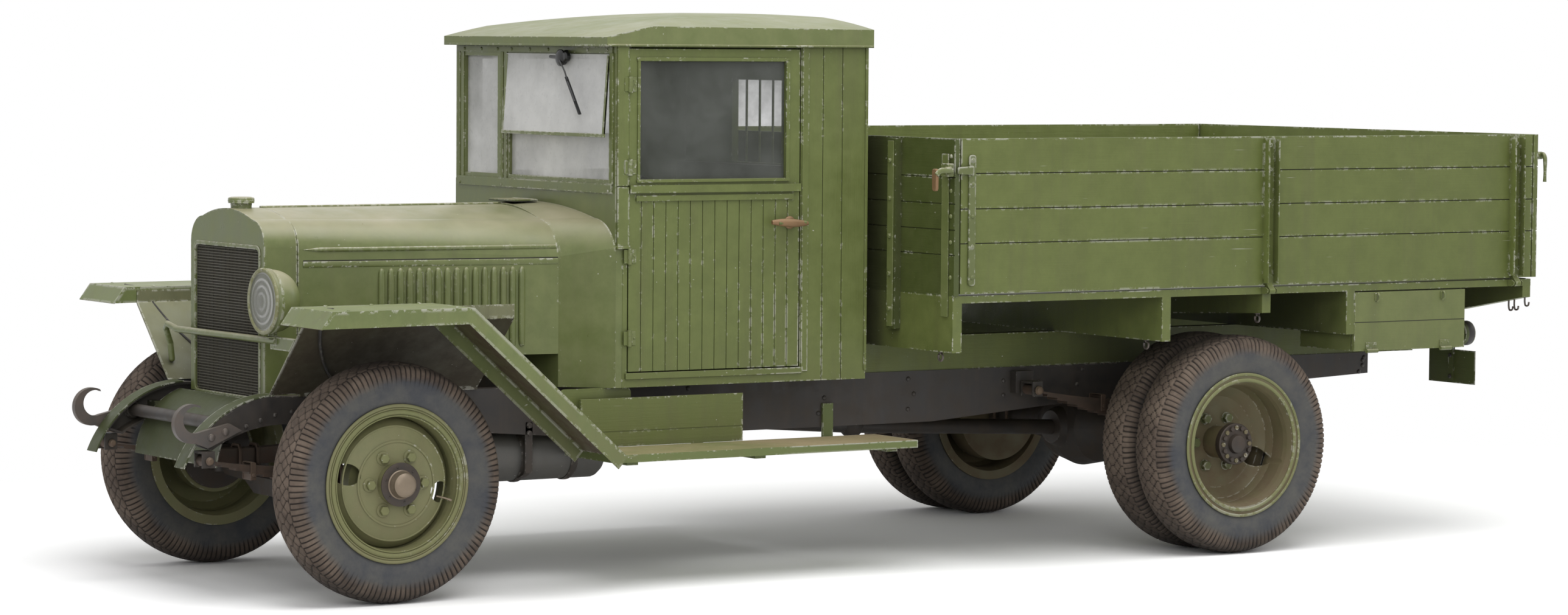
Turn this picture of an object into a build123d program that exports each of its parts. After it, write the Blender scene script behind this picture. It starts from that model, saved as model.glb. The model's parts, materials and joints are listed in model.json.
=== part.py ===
"""Two-axle military cargo truck with a wooden cab, flat bent fenders and a dropside plank bed.

Frame: +X forward, +Y to the truck's left, +Z up, millimetres. The origin lies on the ground
under the middle of the truck's bounding box. Stations along X are given from the front axle.
"""
import os
from math import cos, degrees, radians, sin, sqrt

from build123d import *

os.makedirs("parts", exist_ok=True)

# ---- driving dimensions -------------------------------------------------------------------
WHEELBASE = 3810.0
FRONT_AXLE_X = 2330.0
REAR_AXLE_X = FRONT_AXLE_X - WHEELBASE
TYRE_R = 452.0
TYRE_W = 196.0
AXLE_Z = TYRE_R
FRONT_TRACK_Y = 755.0
REAR_INNER_Y = 775.0
REAR_OUTER_Y = 1000.0
KINGPIN_Y = 650.0

RAIL_Y = 430.0
RAIL_FLANGE = 70.0
RAIL_PLATE = 8.0
RAIL_TOP_Z = 756.0

SHEET = 4.0
MOVE_GAP = 6.0

HOOD_FRONT_X = FRONT_AXLE_X + 149.0
HOOD_REAR_X = FRONT_AXLE_X - 895.0
HOOD_BOTTOM_Z = 885.0
CAB_FRONT_X = FRONT_AXLE_X - 1058.0
CAB_REAR_X = FRONT_AXLE_X - 2200.0
CAB_FRONT_HALF = 635.0
CAB_REAR_HALF = 675.0
CAB_BOTTOM_Z = 756.0
CAB_WALL = 32.0
DOOR_TOP_Z = 2068.0
DOOR_BOTTOM_Z = 817.0
DOOR_FRONT_X = FRONT_AXLE_X - 1116.0
DOOR_REAR_X = FRONT_AXLE_X - 1886.0
ROOF_EDGE_Z = 2076.0

BED_FRONT_X = FRONT_AXLE_X - 2290.0
BED_REAR_X = FRONT_AXLE_X - 5341.0
BED_HALF = 1155.0
BOARD = 25.0
BED_FLOOR_Z = 1109.0
BED_STRIP_Z = 1078.0
BED_TOP_Z = 1725.0
PLANK_SEAMS = (1313.0, 1449.0, 1588.0)
FRONT_SEAMS = (1268.0, 1367.0, 1469.0, 1573.0)

SIDES = (("left", 1), ("right", -1))


# ---- helpers ------------------------------------------------------------------------------
def station(distance):
    """X of a point that lies this far ahead of the front axle."""
    return FRONT_AXLE_X + distance


def side_plane(y):
    """Sketch plane whose axes are the truck's X and Z; extruding by a negative amount goes to +Y."""
    return Plane.XZ.offset(-y)


def cross_plane(x):
    """Sketch plane whose axes are the truck's Y and Z; it extrudes towards +X."""
    return Plane.YZ.offset(x)


def block(x_span, y_span, z_span, mode=Mode.ADD):
    """Box between the given limits, in the builder that is open."""
    spans = (x_span, y_span, z_span)
    middle = tuple((a + b) / 2 for a, b in spans)
    with Locations(middle):
        Box(*(abs(b - a) for a, b in spans), mode=mode)


def rod(start, end, radius, mode=Mode.ADD):
    """Round bar from one point to another, in the builder that is open."""
    run = Vector(*end) - Vector(*start)
    plane = Plane(origin=start, z_dir=run)
    with Locations(plane):
        Cylinder(radius, run.length, align=(Align.CENTER, Align.CENTER, Align.MIN), mode=mode)


def save(builder, name):
    """Label the finished piece and write its STEP file."""
    builder.part.label = name
    export_step(builder.part, f"parts/{name}.step")


def cab_half(x):
    """Half width of the cab's outside at x: it widens towards the rear."""
    share = (CAB_FRONT_X - x) / (CAB_FRONT_X - CAB_REAR_X)
    return CAB_FRONT_HALF + share * (CAB_REAR_HALF - CAB_FRONT_HALF)


# ---- wheels and tyres ---------------------------------------------------------------------
# Half of the tyre's section, which is symmetric: (distance from the middle plane, radius).
TYRE_HALF_SECTION = ((66, 260), (74, 268), (78, 300), (98, 362), (96, 398), (84, 432), (58, 448))
# Half of the rim's section, from the well out to the flange and back under it.
RIM_HALF_SECTION = ((40, 255), (70, 259), (76, 266), (80, 296), (86, 296), (84, 258), (60, 250), (40, 246))
# Outer face of the front disc from its rim seat to the hub: (outward offset, radius).
FRONT_DISC = ((-4, 252), (22, 240), (52, 214), (72, 158), (76, 60))
# The twin discs lean towards each other and meet between the tyres.
REAR_DISC = ((-12, 252), (-60, 232), (-92, 190), (-103, 150), (-103, 60))
DISC_PLATE = 9.0
NUT_CIRCLE_R = 112.0


def revolve_about_axle(points, y, sign=1):
    """Revolve a closed section, given as (offset, radius), about the wheel's own axis line."""
    with BuildSketch(Plane.YZ) as section:
        with BuildLine():
            Polyline(*[(y + sign * offset, radius) for offset, radius in points], close=True)
        make_face()
    revolve(section.sketch, axis=Axis.Y)


def add_tyre(y):
    """Solid tyre ring about the Y axis."""
    half = TYRE_HALF_SECTION
    mirrored = tuple((-offset, radius) for offset, radius in reversed(half))
    revolve_about_axle(half + ((0, TYRE_R),) + mirrored, y)


def add_rim(y):
    """Drop-centre rim with a flange on each edge."""
    half = RIM_HALF_SECTION
    mirrored = tuple((-offset, radius) for offset, radius in reversed(half))
    revolve_about_axle(half + mirrored, y)


def add_disc(y, face, sign, hole_angles, hole_size, hole_r=199.0):
    """Pressed wheel disc with its hand holes and wheel nuts."""
    back = tuple((offset - DISC_PLATE, radius) for offset, radius in reversed(face))
    revolve_about_axle(face + back, y, sign)
    holes = [
        Location((hole_r * cos(radians(a)), 0, hole_r * sin(radians(a))), (0, -a, 0))
        for a in hole_angles
    ]
    for place in holes:
        middle = Vector(place.position.X, y, place.position.Z)
        plane = Plane(origin=middle, x_dir=(middle.X, 0, middle.Z), z_dir=(0, 1, 0))
        with BuildSketch(plane) as hole:
            Ellipse(*hole_size)
        extrude(hole.sketch, amount=130, both=True, mode=Mode.SUBTRACT)


def wheel_nuts(y_face, sign, count, circle_r, radius, height):
    """Ring of nuts or bolt heads on a flat face across the axle."""
    plane = Plane(origin=(0, y_face, 0), x_dir=(1, 0, 0), z_dir=(0, sign, 0))
    with BuildSketch(plane) as nuts:
        with PolarLocations(circle_r, count):
            RegularPolygon(radius, 6)
    extrude(nuts.sketch, amount=height)


def place_wheel(builder, x):
    """Move a wheel piece from the Y axis line to its axle."""
    return builder.part.moved(Location((x, 0, AXLE_Z)))


def write(part, name):
    """Label a placed piece and write its STEP file."""
    part.label = name
    export_step(part, f"parts/{name}.step")


for side, s in SIDES:
    with BuildPart() as tyre_front:
        add_tyre(s * FRONT_TRACK_Y)
    write(place_wheel(tyre_front, FRONT_AXLE_X), f"tyre_front_{side}")

    with BuildPart() as wheel_front:
        add_rim(s * FRONT_TRACK_Y)
        add_disc(s * FRONT_TRACK_Y, FRONT_DISC, s, (12, 192), (49, 40))
        wheel_nuts(s * (FRONT_TRACK_Y + 68), s, 6, NUT_CIRCLE_R, 17, 24)
        rod((0, s * (KINGPIN_Y + 62), 0), (0, s * (FRONT_TRACK_Y + 108), 0), 80)
        with Locations((0, s * (FRONT_TRACK_Y + 108), 0)):
            Sphere(46)
        rod((0, s * (KINGPIN_Y + 49), 0), (0, s * (FRONT_TRACK_Y + 8), 0), 165)
        rod((0, s * (KINGPIN_Y + 40), 0), (0, s * (KINGPIN_Y + 92), 0), 24, mode=Mode.SUBTRACT)
    write(place_wheel(wheel_front, FRONT_AXLE_X), f"wheel_front_{side}")

    with BuildPart() as tyres_rear:
        add_tyre(s * REAR_INNER_Y)
        add_tyre(s * REAR_OUTER_Y)
    write(place_wheel(tyres_rear, REAR_AXLE_X), f"tyres_rear_{side}")

    with BuildPart() as wheels_rear:
        add_rim(s * REAR_OUTER_Y)
        add_disc(s * REAR_OUTER_Y, REAR_DISC, s, (20, 200), (49, 40))
        wheel_nuts(s * (REAR_OUTER_Y - 104), s, 6, NUT_CIRCLE_R, 17, 20)
        rod((0, s * (REAR_OUTER_Y - 112), 0), (0, s * (REAR_OUTER_Y + 22), 0), 66)
        rod((0, s * (REAR_OUTER_Y + 10), 0), (0, s * (REAR_OUTER_Y + 32), 0), 84)
        wheel_nuts(s * (REAR_OUTER_Y + 31), s, 8, 68, 10, 9)
        with Locations((0, s * (REAR_OUTER_Y + 32), 0)):
            Cylinder(34, 30, rotation=(90, 0, 0))
        add_rim(s * REAR_INNER_Y)
        add_disc(s * REAR_INNER_Y, REAR_DISC, -s, (20, 200), (49, 40))
        rod((0, s * 640, 0), (0, s * (REAR_INNER_Y + 112), 0), 66)
        rod((0, s * 640, 0), (0, s * 745, 0), 205)
    write(place_wheel(wheels_rear, REAR_AXLE_X), f"wheels_rear_{side}")

# ---- chassis frame ------------------------------------------------------------------------
HORN_TOP = ((230, RAIL_TOP_Z), (474, 716), (622, 590))
HORN_UNDER = ((560, 568), (440, 626), (230, 652))
RAIL_UNDER = ((-1100, 545), (-2700, 545), (-3300, 590), (-5030, 665))


def rail_outline():
    """Side view of a frame rail: deep in the middle, with a curved horn in front."""
    top_start, top_middle, nose = HORN_TOP
    under_start, under_middle, under_end = HORN_UNDER
    at = [(station(x), z) for x, z in (top_start, top_middle, nose, under_start, under_middle, under_end)]
    under = [(station(x), z) for x, z in RAIL_UNDER]
    rear_top = (under[-1][0], RAIL_TOP_Z)
    with BuildLine() as path:
        ThreePointArc(at[0], at[1], at[2])
        Line(at[2], at[3])
        ThreePointArc(at[3], at[4], at[5])
        Polyline(at[5], *under, rear_top, at[0])
    make_face(path.edges())


with BuildPart() as frame_rails:
    for side, s in SIDES:
        with BuildSketch(side_plane(s * RAIL_Y)) as outline:
            rail_outline()
        extrude(outline.sketch, amount=s * RAIL_FLANGE)
        with BuildSketch(side_plane(s * (RAIL_Y - RAIL_PLATE))) as pocket:
            rail_outline()
            offset(amount=-RAIL_PLATE, mode=Mode.REPLACE)
        extrude(pocket.sketch, amount=s * RAIL_FLANGE, mode=Mode.SUBTRACT)
save(frame_rails, "frame_rails")

# Cross members between the rails: (station, underside z, top z, length along X).
CROSS_MEMBERS = (
    (130, 662, 735, 60),
    (-1500, 640, 745, 70),
    (-2560, 570, 730, 70),
    (-3420, 610, 735, 60),
    (-4400, 650, 740, 60),
    (-4960, 680, 740, 50),
)
with BuildPart() as cross_members:
    for x, low, high, length in CROSS_MEMBERS:
        reach = RAIL_Y - RAIL_PLATE
        block((station(x), station(x - length)), (-reach, reach), (low, high))
        block((station(x - 8), station(x - length)), (-reach, reach), (low + 8, high - 8), mode=Mode.SUBTRACT)
    rod((station(490), -RAIL_Y + RAIL_PLATE, 657), (station(490), RAIL_Y - RAIL_PLATE, 657), 24)
save(cross_members, "frame_cross_members")

horn_arc = ThreePointArc(*[(station(x), z) for x, z in HORN_TOP])
horn_centre = (horn_arc.arc_center.X, horn_arc.arc_center.Y)
horn_r = horn_arc.radius
HORN_SWEEP = (22, 66)
# Curved sheet below the radiator, between the horns.
VALANCE_HALF = 357.0
VALANCE_ARC = ((318, 738), (446, 650), (508, 494))
with BuildPart() as horn_covers:
    for side, s in SIDES:
        with BuildSketch(side_plane(s * 350)) as cover:
            with BuildLine():
                near = CenterArc(horn_centre, horn_r + 1, HORN_SWEEP[0], HORN_SWEEP[1])
                far = CenterArc(horn_centre, horn_r + 7, HORN_SWEEP[0], HORN_SWEEP[1])
                Line(near @ 0, far @ 0)
                Line(near @ 1, far @ 1)
            make_face()
        extrude(cover.sketch, amount=-s * (RAIL_Y - 350))
    with BuildSketch(side_plane(-VALANCE_HALF)) as valance:
        with BuildLine():
            outer = ThreePointArc(*[(station(x), z) for x, z in VALANCE_ARC])
            offset(outer, amount=SHEET, side=Side.RIGHT)
        make_face()
    extrude(valance.sketch, amount=-2 * VALANCE_HALF)
    for s in (1, -1):
        block((station(425), station(385)), (s * (VALANCE_HALF - 4), s * (RAIL_Y - RAIL_PLATE)), (655, 690))
save(horn_covers, "frame_horn_covers")

with BuildPart() as tow_hooks:
    for side, s in SIDES:
        with BuildSketch(side_plane(s * (RAIL_Y + 1))) as hook:
            with BuildLine():
                outer = [(station(x), z) for x, z in ((640, 600), (726, 664), (620, 738))]
                inner = [(station(x), z) for x, z in ((616, 730), (688, 672), (622, 640))]
                ThreePointArc(*outer)
                Line(outer[2], inner[0])
                ThreePointArc(*inner)
                Polyline(inner[2], (station(500), 668), (station(450), 640), (station(590), 578), outer[0])
            make_face()
        extrude(hook.sketch, amount=-s * 26)
save(tow_hooks, "tow_hooks")


# ---- leaf springs -------------------------------------------------------------------------
def add_leaf_spring(middle, span, sag, leaf, count, width):
    """Pack of leaves as concentric arcs, the top one longest, its eyes rolled round the pins."""
    mid_x, mid_y, mid_z = middle
    radius = (span * span / 4 + sag * sag) / (2 * sag)
    for number in range(count):
        half = span / 2 * (1 - 0.8 * number / count)
        low = radius + leaf * number
        high = low + leaf
        angle = degrees(half / radius)
        centre = (mid_x, mid_z + radius)
        with BuildSketch(side_plane(mid_y - width / 2)) as leaf_face:
            with BuildLine():
                near = CenterArc(centre, low, -90 - angle, 2 * angle)
                far = CenterArc(centre, high, -90 - angle, 2 * angle)
                Line(near @ 0, far @ 0)
                Line(near @ 1, far @ 1)
            make_face()
        extrude(leaf_face.sketch, amount=-width)
    for end in (-1, 1):
        eye_x = mid_x + end * span / 2
        eye_z = mid_z + sag
        rod((eye_x, mid_y - width / 2, eye_z), (eye_x, mid_y + width / 2, eye_z), 22)


FRONT_SPRING = {"span": 1150.0, "sag": 46.0, "leaf": 8.0, "count": 8, "width": 58.0}
REAR_SPRING = {"span": 1340.0, "sag": 62.0, "leaf": 9.0, "count": 10, "width": 70.0}
FRONT_SPRING_TOP = (station(16), 430.0, 486.0)
REAR_SPRING_TOP = (REAR_AXLE_X, 520.0, 604.0)

with BuildPart() as leaf_springs:
    for side, s in SIDES:
        x, y, z = FRONT_SPRING_TOP
        add_leaf_spring((x, s * y, z), **FRONT_SPRING)
        for clip_x in (407, -380):
            block((station(clip_x + 9), station(clip_x - 9)), (s * y - 33, s * y + 33), (452, 512))
        x, y, z = REAR_SPRING_TOP
        add_leaf_spring((x, s * y, z), **REAR_SPRING)
        for clip_x in (330, -330):
            block((x + clip_x + 10, x + clip_x - 10), (s * y - 40, s * y + 40), (570, 632))
save(leaf_springs, "leaf_springs")

def add_clevis(eye, width, roof_z, half_length=26.0, cheek=6.5):
    """Two cheeks beside a spring eye, joined by a plate under the frame."""
    eye_x, eye_y, eye_z = eye
    span_x = (eye_x - half_length, eye_x + half_length)
    for end in (-1, 1):
        face = eye_y + end * (width / 2 + 0.5)
        block(span_x, (face, face + end * cheek), (eye_z - 26, roof_z))
        rod((eye_x, face, eye_z), (eye_x, face + end * (cheek + 9), eye_z), 15)
    reach = width / 2 + 0.5 + cheek
    block(span_x, (eye_y - reach, eye_y + reach), (roof_z - 9, roof_z))


with BuildPart() as spring_hangers:
    for side, s in SIDES:
        x, y, z = FRONT_SPRING_TOP
        eye_z = z + FRONT_SPRING["sag"]
        for end, roof_z in ((1, 568), (-1, 586)):
            add_clevis((x + end * FRONT_SPRING["span"] / 2, s * y, eye_z), FRONT_SPRING["width"], roof_z)
        x, y, z = REAR_SPRING_TOP
        eye_z = z + REAR_SPRING["sag"]
        for end in (1, -1):
            eye_x = x + end * REAR_SPRING["span"] / 2
            add_clevis((eye_x, s * y, eye_z), REAR_SPRING["width"], 702)
            block((eye_x - 45, eye_x + 45), (s * RAIL_Y, s * 470), (650, 740))
save(spring_hangers, "spring_hangers")

# ---- front axle, knuckles and tie rod -----------------------------------------------------
PAD_TOP_Z = 422.0
with BuildPart() as front_axle:
    with BuildSketch(cross_plane(FRONT_AXLE_X - 26)) as beam:
        with BuildLine():
            Polyline(
                (0, 318), (300, 318), (380, 362), (560, 372), (620, 420), (650, 420),
                (650, 484), (596, 484), (540, 430), (470, PAD_TOP_Z), (360, PAD_TOP_Z), (290, 384), (0, 384),
                close=True,
            )
        make_face()
        mirror(about=Plane.YZ)
    extrude(beam.sketch, amount=52)
    for s in (1, -1):
        rod((FRONT_AXLE_X, s * KINGPIN_Y, 412), (FRONT_AXLE_X, s * KINGPIN_Y, 492), 30)
        rod((FRONT_AXLE_X, s * KINGPIN_Y, 400), (FRONT_AXLE_X, s * KINGPIN_Y, 500), 16, mode=Mode.SUBTRACT)
save(front_axle, "axle_front_beam")

ARM_BALL = (-190.0, KINGPIN_Y, 388.0)
TIE_ROD_Z = 350.0
for side, s in SIDES:
    with BuildPart() as knuckle:
        rod((FRONT_AXLE_X, s * KINGPIN_Y, 374), (FRONT_AXLE_X, s * KINGPIN_Y, 530), 15)
        rod((FRONT_AXLE_X, s * KINGPIN_Y, 374), (FRONT_AXLE_X, s * KINGPIN_Y, 406), 32)
        rod((FRONT_AXLE_X, s * KINGPIN_Y, 498), (FRONT_AXLE_X, s * KINGPIN_Y, 530), 32)
        block((FRONT_AXLE_X - 28, FRONT_AXLE_X + 28), (s * 671, s * 689), (374, 406))
        block((FRONT_AXLE_X - 28, FRONT_AXLE_X + 28), (s * 671, s * 689), (498, 530))
        rod((FRONT_AXLE_X, s * 687, AXLE_Z), (FRONT_AXLE_X, s * 693, AXLE_Z), 150)
        rod((FRONT_AXLE_X, s * 688, AXLE_Z), (FRONT_AXLE_X, s * 740, AXLE_Z), 22)
        ball = (station(ARM_BALL[0]), s * ARM_BALL[1], ARM_BALL[2])
        rod((station(-24), ball[1], ball[2]), (ball[0] + 8, ball[1], ball[2]), 13)
        rod((ball[0], ball[1], 376), (ball[0], ball[1], 402), 20)
        rod((ball[0], ball[1], 376), (ball[0], ball[1], TIE_ROD_Z - 16), 9)
    save(knuckle, f"knuckle_{side}")

with BuildPart() as tie_rod:
    ball_x = station(ARM_BALL[0])
    reach = ARM_BALL[1]
    rod((ball_x, reach - 10, TIE_ROD_Z), (ball_x, -reach + 10, TIE_ROD_Z), 13)
    for s in (1, -1):
        rod((ball_x, s * reach, TIE_ROD_Z - 14), (ball_x, s * reach, TIE_ROD_Z + 14), 22)
    for s in (1, -1):
        rod((ball_x, s * reach, TIE_ROD_Z - 20), (ball_x, s * reach, TIE_ROD_Z + 20), 11, mode=Mode.SUBTRACT)
save(tie_rod, "tie_rod")

# ---- rear axle and drive line -------------------------------------------------------------
with BuildPart() as rear_axle:
    with BuildSketch(Plane.XY) as tube_half:
        with BuildLine():
            Polyline((0, 0), (0, 632), (58, 632), (58, 420), (80, 240), (150, 120), (172, 0), close=True)
        make_face()
    revolve(tube_half.sketch, axis=Axis.Y)
    mirror(about=Plane.XZ)
    with Locations((110, 0, 0)):
        Cone(140, 70, 150, rotation=(0, 90, 0))
    for s in (1, -1):
        block((-90, 90), (s * 482, s * 558), (40, 62))
with BuildPart() as rear_axle_placed:
    add(rear_axle.part.moved(Location((REAR_AXLE_X, 0, AXLE_Z))))
save(rear_axle_placed, "axle_rear_housing")

ENGINE_X = (station(40), station(-800))
ENGINE_Z = (690.0, 1180.0)
BELL_Z = 700.0
BELL_REAR_X = station(-885)
GEARBOX_REAR = (station(-1280), 0, 600)
with BuildPart() as engine:
    # Cylinder block, sump, head cover, fan pulley, clutch bell and gearbox.
    block(ENGINE_X, (-190, 190), ENGINE_Z)
    block((ENGINE_X[0] - 60, ENGINE_X[1] + 120), (-130, 130), (600, ENGINE_Z[0]))
    block((ENGINE_X[0] - 40, ENGINE_X[1] + 40), (-120, 120), (ENGINE_Z[1], 1260))
    rod((ENGINE_X[0], 0, 900), (ENGINE_X[0] + 60, 0, 900), 60)
    rod((ENGINE_X[1], 0, BELL_Z), (BELL_REAR_X, 0, BELL_Z), 180)
    block((BELL_REAR_X, GEARBOX_REAR[0]), (-120, 120), (520, 740))
save(engine, "engine_and_gearbox")

with BuildPart() as drive_shaft:
    middle = (station(-2590), 0, 500)
    rod((GEARBOX_REAR[0] - 3, 0, GEARBOX_REAR[2]), middle, 32)
    rod(middle, (REAR_AXLE_X + 187, 0, AXLE_Z), 32)
    with Locations(middle):
        Sphere(52)
    block((middle[0] - 20, middle[0] + 20), (-30, 30), (540, 570))
save(drive_shaft, "drive_shaft")

# Straight runs of the exhaust: start, end and radius. The thick one is the silencer.
EXHAUST_RUNS = (
    ((-420, -216, 790), (-470, -250, 590), 24),
    ((-470, -250, 590), (-720, -300, 540), 24),
    ((-720, -300, 540), (-1000, -540, 534), 24),
    ((-1000, -540, 534), (-1510, -540, 575), 24),
    ((-1500, -540, 575), (-2150, -540, 575), 66),
    ((-2140, -540, 575), (-2560, -590, 560), 22),
)
with BuildPart() as exhaust:
    for start, end, radius in EXHAUST_RUNS:
        rod((station(start[0]), *start[1:]), (station(end[0]), *end[1:]), radius)
    for x in (-1620, -2030):
        block((station(x - 15), station(x + 15)), (-RAIL_Y, -500), (600, 612))
save(exhaust, "exhaust")

# ---- radiator, hood and cowl --------------------------------------------------------------
# Arched sections of the nose: station, half width, top of the straight side, corner arc's
# middle and end as (y, z), and the crown's height.
ARCHES = {
    "radiator": (289, 316, 1312, (293, 1376), (214, 1414), 1450),
    "hood_front": (149, 318, 1306, (294, 1373), (214, 1413), 1450),
    "hood_rear": (-895, 480, 1262, (449, 1337), (330, 1403), 1449.5),
    "cowl_front": (-895, 480, 1262, (449, 1337), (330, 1403), 1455),
    "cowl_rear": (-1058, 638, 1300, (598, 1360), (480, 1409), 1460),
}


def crown_height(y, end, crown):
    """Height of the crown arc at y, when it spans from -end to +end and peaks over the middle."""
    end_y, end_z = end
    rise = crown - end_z
    radius = (end_y * end_y + rise * rise) / (2 * rise)
    return crown - (radius - sqrt(radius * radius - y * y))


def inset_arch(name, inset):
    """Points of one arch moved inwards by the sheet's thickness."""
    x, half, side_top, corner, end, crown = ARCHES[name]
    diagonal = inset * 0.72
    return (
        x, half - inset, side_top, (corner[0] - diagonal, corner[1] - diagonal),
        (end[0] - inset * 0.3, end[1] - inset * 0.95), crown - inset,
    )


def half_arch_lines(arch, bottom_z, inner_y):
    """Line and two arcs of one side of an arch, from the bottom edge up to inner_y on the crown."""
    _, half, side_top, corner, end, crown = arch
    edge = crown_height(inner_y, end, crown)
    middle_y = (end[0] + inner_y) / 2
    Line((half, bottom_z), (half, side_top))
    ThreePointArc((half, side_top), corner, end)
    ThreePointArc(end, (middle_y, crown_height(middle_y, end, crown)), (inner_y, edge))
    return (half, bottom_z), (inner_y, edge)


def hood_section(name, s, edge_y):
    """Thin closed section of one half of the hood, from its bottom edge up to edge_y."""
    with BuildSketch(cross_plane(station(ARCHES[name][0]))) as section:
        with BuildLine():
            low_out, high_out = half_arch_lines(ARCHES[name], HOOD_BOTTOM_Z, edge_y)
            low_in, high_in = half_arch_lines(inset_arch(name, SHEET), HOOD_BOTTOM_Z, edge_y)
            Line(low_out, low_in)
            Line(high_out, high_in)
        make_face()
        if s < 0:
            mirror(about=Plane.YZ, mode=Mode.REPLACE)
    return section.sketch


def full_arch(name, bottom_z, inset=0.0, shift=0.0):
    """Closed section of a whole arch down to bottom_z, moved along X by shift."""
    arch = inset_arch(name, inset)
    with BuildSketch(cross_plane(station(arch[0]) + shift)) as section:
        with BuildLine():
            low, high = half_arch_lines(arch, bottom_z, 0)
            Line(low, (0, bottom_z))
            Line((0, bottom_z), high)
        make_face()
        mirror(about=Plane.YZ)
    return section.sketch


HOOD_PIN_Z = 1451.0
HOOD_PIN_R = 6.0
LOUVRE_COUNT = 16
LOUVRE_FIRST_X = station(-183)
LOUVRE_PITCH = 37.6
LOUVRE_Z = (923.0, 1212.0)
HOOD_SPREAD = (ARCHES["hood_rear"][1] - ARCHES["hood_front"][1]) / (HOOD_FRONT_X - HOOD_REAR_X)


def hood_half(x):
    """Half width of the hood's flat side at x."""
    return ARCHES["hood_front"][1] + (HOOD_FRONT_X - x) * HOOD_SPREAD


for side, s in SIDES:
    with BuildPart() as hood_panel:
        edge_y = HOOD_PIN_R - 2 if s > 0 else HOOD_PIN_R + 4
        loft([hood_section("hood_front", s, edge_y), hood_section("hood_rear", s, edge_y)], ruled=True)
        if s > 0:
            rod((HOOD_FRONT_X, 0, HOOD_PIN_Z), (HOOD_REAR_X, 0, HOOD_PIN_Z), HOOD_PIN_R)
        for number in range(LOUVRE_COUNT):
            x = LOUVRE_FIRST_X - number * LOUVRE_PITCH
            foot = (x, s * (hood_half(x) - 1), LOUVRE_Z[0])
            plane = Plane(origin=foot, x_dir=(-1, s * HOOD_SPREAD, 0), z_dir=(0, 0, 1))
            with BuildSketch(plane) as louvre:
                outward = -s * 11
                with BuildLine():
                    Polyline((-12, 0), (12, 0), (4, outward), (-8, outward * 0.8), close=True)
                make_face()
            extrude(louvre.sketch, amount=LOUVRE_Z[1] - LOUVRE_Z[0])
    save(hood_panel, f"hood_{side}")

GRILLE_HALF = 272.0
GRILLE_Z = (742.0, 1302.0)
SHELL_BOTTOM_Z = 736.0
FILLER_X = station(229)
with BuildPart() as radiator_shell:
    extrude(full_arch("radiator", SHELL_BOTTOM_Z), amount=-138)
    extrude(full_arch("radiator", SHELL_BOTTOM_Z - 1, inset=5, shift=-6), amount=-140, mode=Mode.SUBTRACT)
    with BuildSketch(cross_plane(station(280))) as mouth:
        with Locations((0, (GRILLE_Z[0] + GRILLE_Z[1]) / 2)):
            RectangleRounded(2 * GRILLE_HALF, GRILLE_Z[1] - GRILLE_Z[0], 24)
    extrude(mouth.sketch, amount=20, mode=Mode.SUBTRACT)
    rod((FILLER_X, 0, 1440), (FILLER_X, 0, 1470), 40)
    rod((FILLER_X, 0, 1470), (FILLER_X, 0, 1487), 48)
save(radiator_shell, "radiator_shell")

SLAT_COUNT = 36
BAR_COUNT = 15
with BuildPart() as grille:
    height = GRILLE_Z[1] - GRILLE_Z[0] + 12
    block((station(262), station(190)), (-290, 290), (742, 1320))
    with BuildSketch(cross_plane(station(279))) as frame_ring:
        with Locations((0, (GRILLE_Z[0] + GRILLE_Z[1]) / 2)):
            Rectangle(2 * GRILLE_HALF + 12, height)
            Rectangle(2 * GRILLE_HALF - 4, height - 16, mode=Mode.SUBTRACT)
            with GridLocations(0, (height - 16) / (SLAT_COUNT + 1), 1, SLAT_COUNT):
                Rectangle(2 * GRILLE_HALF, 4)
            with GridLocations((2 * GRILLE_HALF - 4) / (BAR_COUNT + 1), 0, BAR_COUNT, 1):
                Rectangle(4, height - 12)
    extrude(frame_ring.sketch, amount=4)
save(grille, "radiator_core_and_grille")

VENT_X = (station(-908), station(-1018))
VENT_HALF = 95.0
with BuildPart() as cowl:
    loft([full_arch("cowl_front", CAB_BOTTOM_Z), full_arch("cowl_rear", CAB_BOTTOM_Z)], ruled=True)
    with BuildPart(mode=Mode.PRIVATE) as hollow:
        inner_arches = [full_arch(name, CAB_BOTTOM_Z - 1, SHEET) for name in ("cowl_front", "cowl_rear")]
        loft(inner_arches, ruled=True)
        split(bisect_by=Plane.YZ.offset(HOOD_REAR_X - 8), keep=Keep.BOTTOM)
    add(hollow.part, mode=Mode.SUBTRACT)
    mouth_x = (VENT_X[0] - 10, VENT_X[1] + 10)
    mouth_half = VENT_HALF - 10
    block(mouth_x, (-mouth_half, mouth_half), (1400, 1480), mode=Mode.SUBTRACT)
save(cowl, "cowl")

# ---- cab ----------------------------------------------------------------------------------
WINDSCREEN_Z = (1560.0, 2034.0)
PASSENGER_PANE_Y = (-562.0, -290.0)
DRIVER_PANE_Y = (-198.0, 584.0)
FRONT_WALL_TOP_Z = 2104.0
BACK_WALL_TOP = (2126.0, 2176.0)
HEADER_PROUD = 5.0
POST_Z = (1544.0, 2050.0)
# Mouldings on the front wall, the header and the sill first, then the posts: (y span, z span,
# how far each stands out).
FRONT_STRIPS = (
    ((-612, 612), (POST_Z[1], 2074), HEADER_PROUD),
    ((-612, 612), (1508, POST_Z[0]), 8),
    ((-600, -566), POST_Z, 4),
    ((-286, -262), POST_Z, 4),
    ((-236, -212), POST_Z, 4),
    ((596, 612), POST_Z, 4),
)
FRONT_INSIDE_X = CAB_FRONT_X - CAB_WALL
BACK_INSIDE_X = CAB_REAR_X + CAB_WALL
GUARD_BARS_Y = (-200.0, -100.0, 0.0, 100.0, 200.0)

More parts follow.
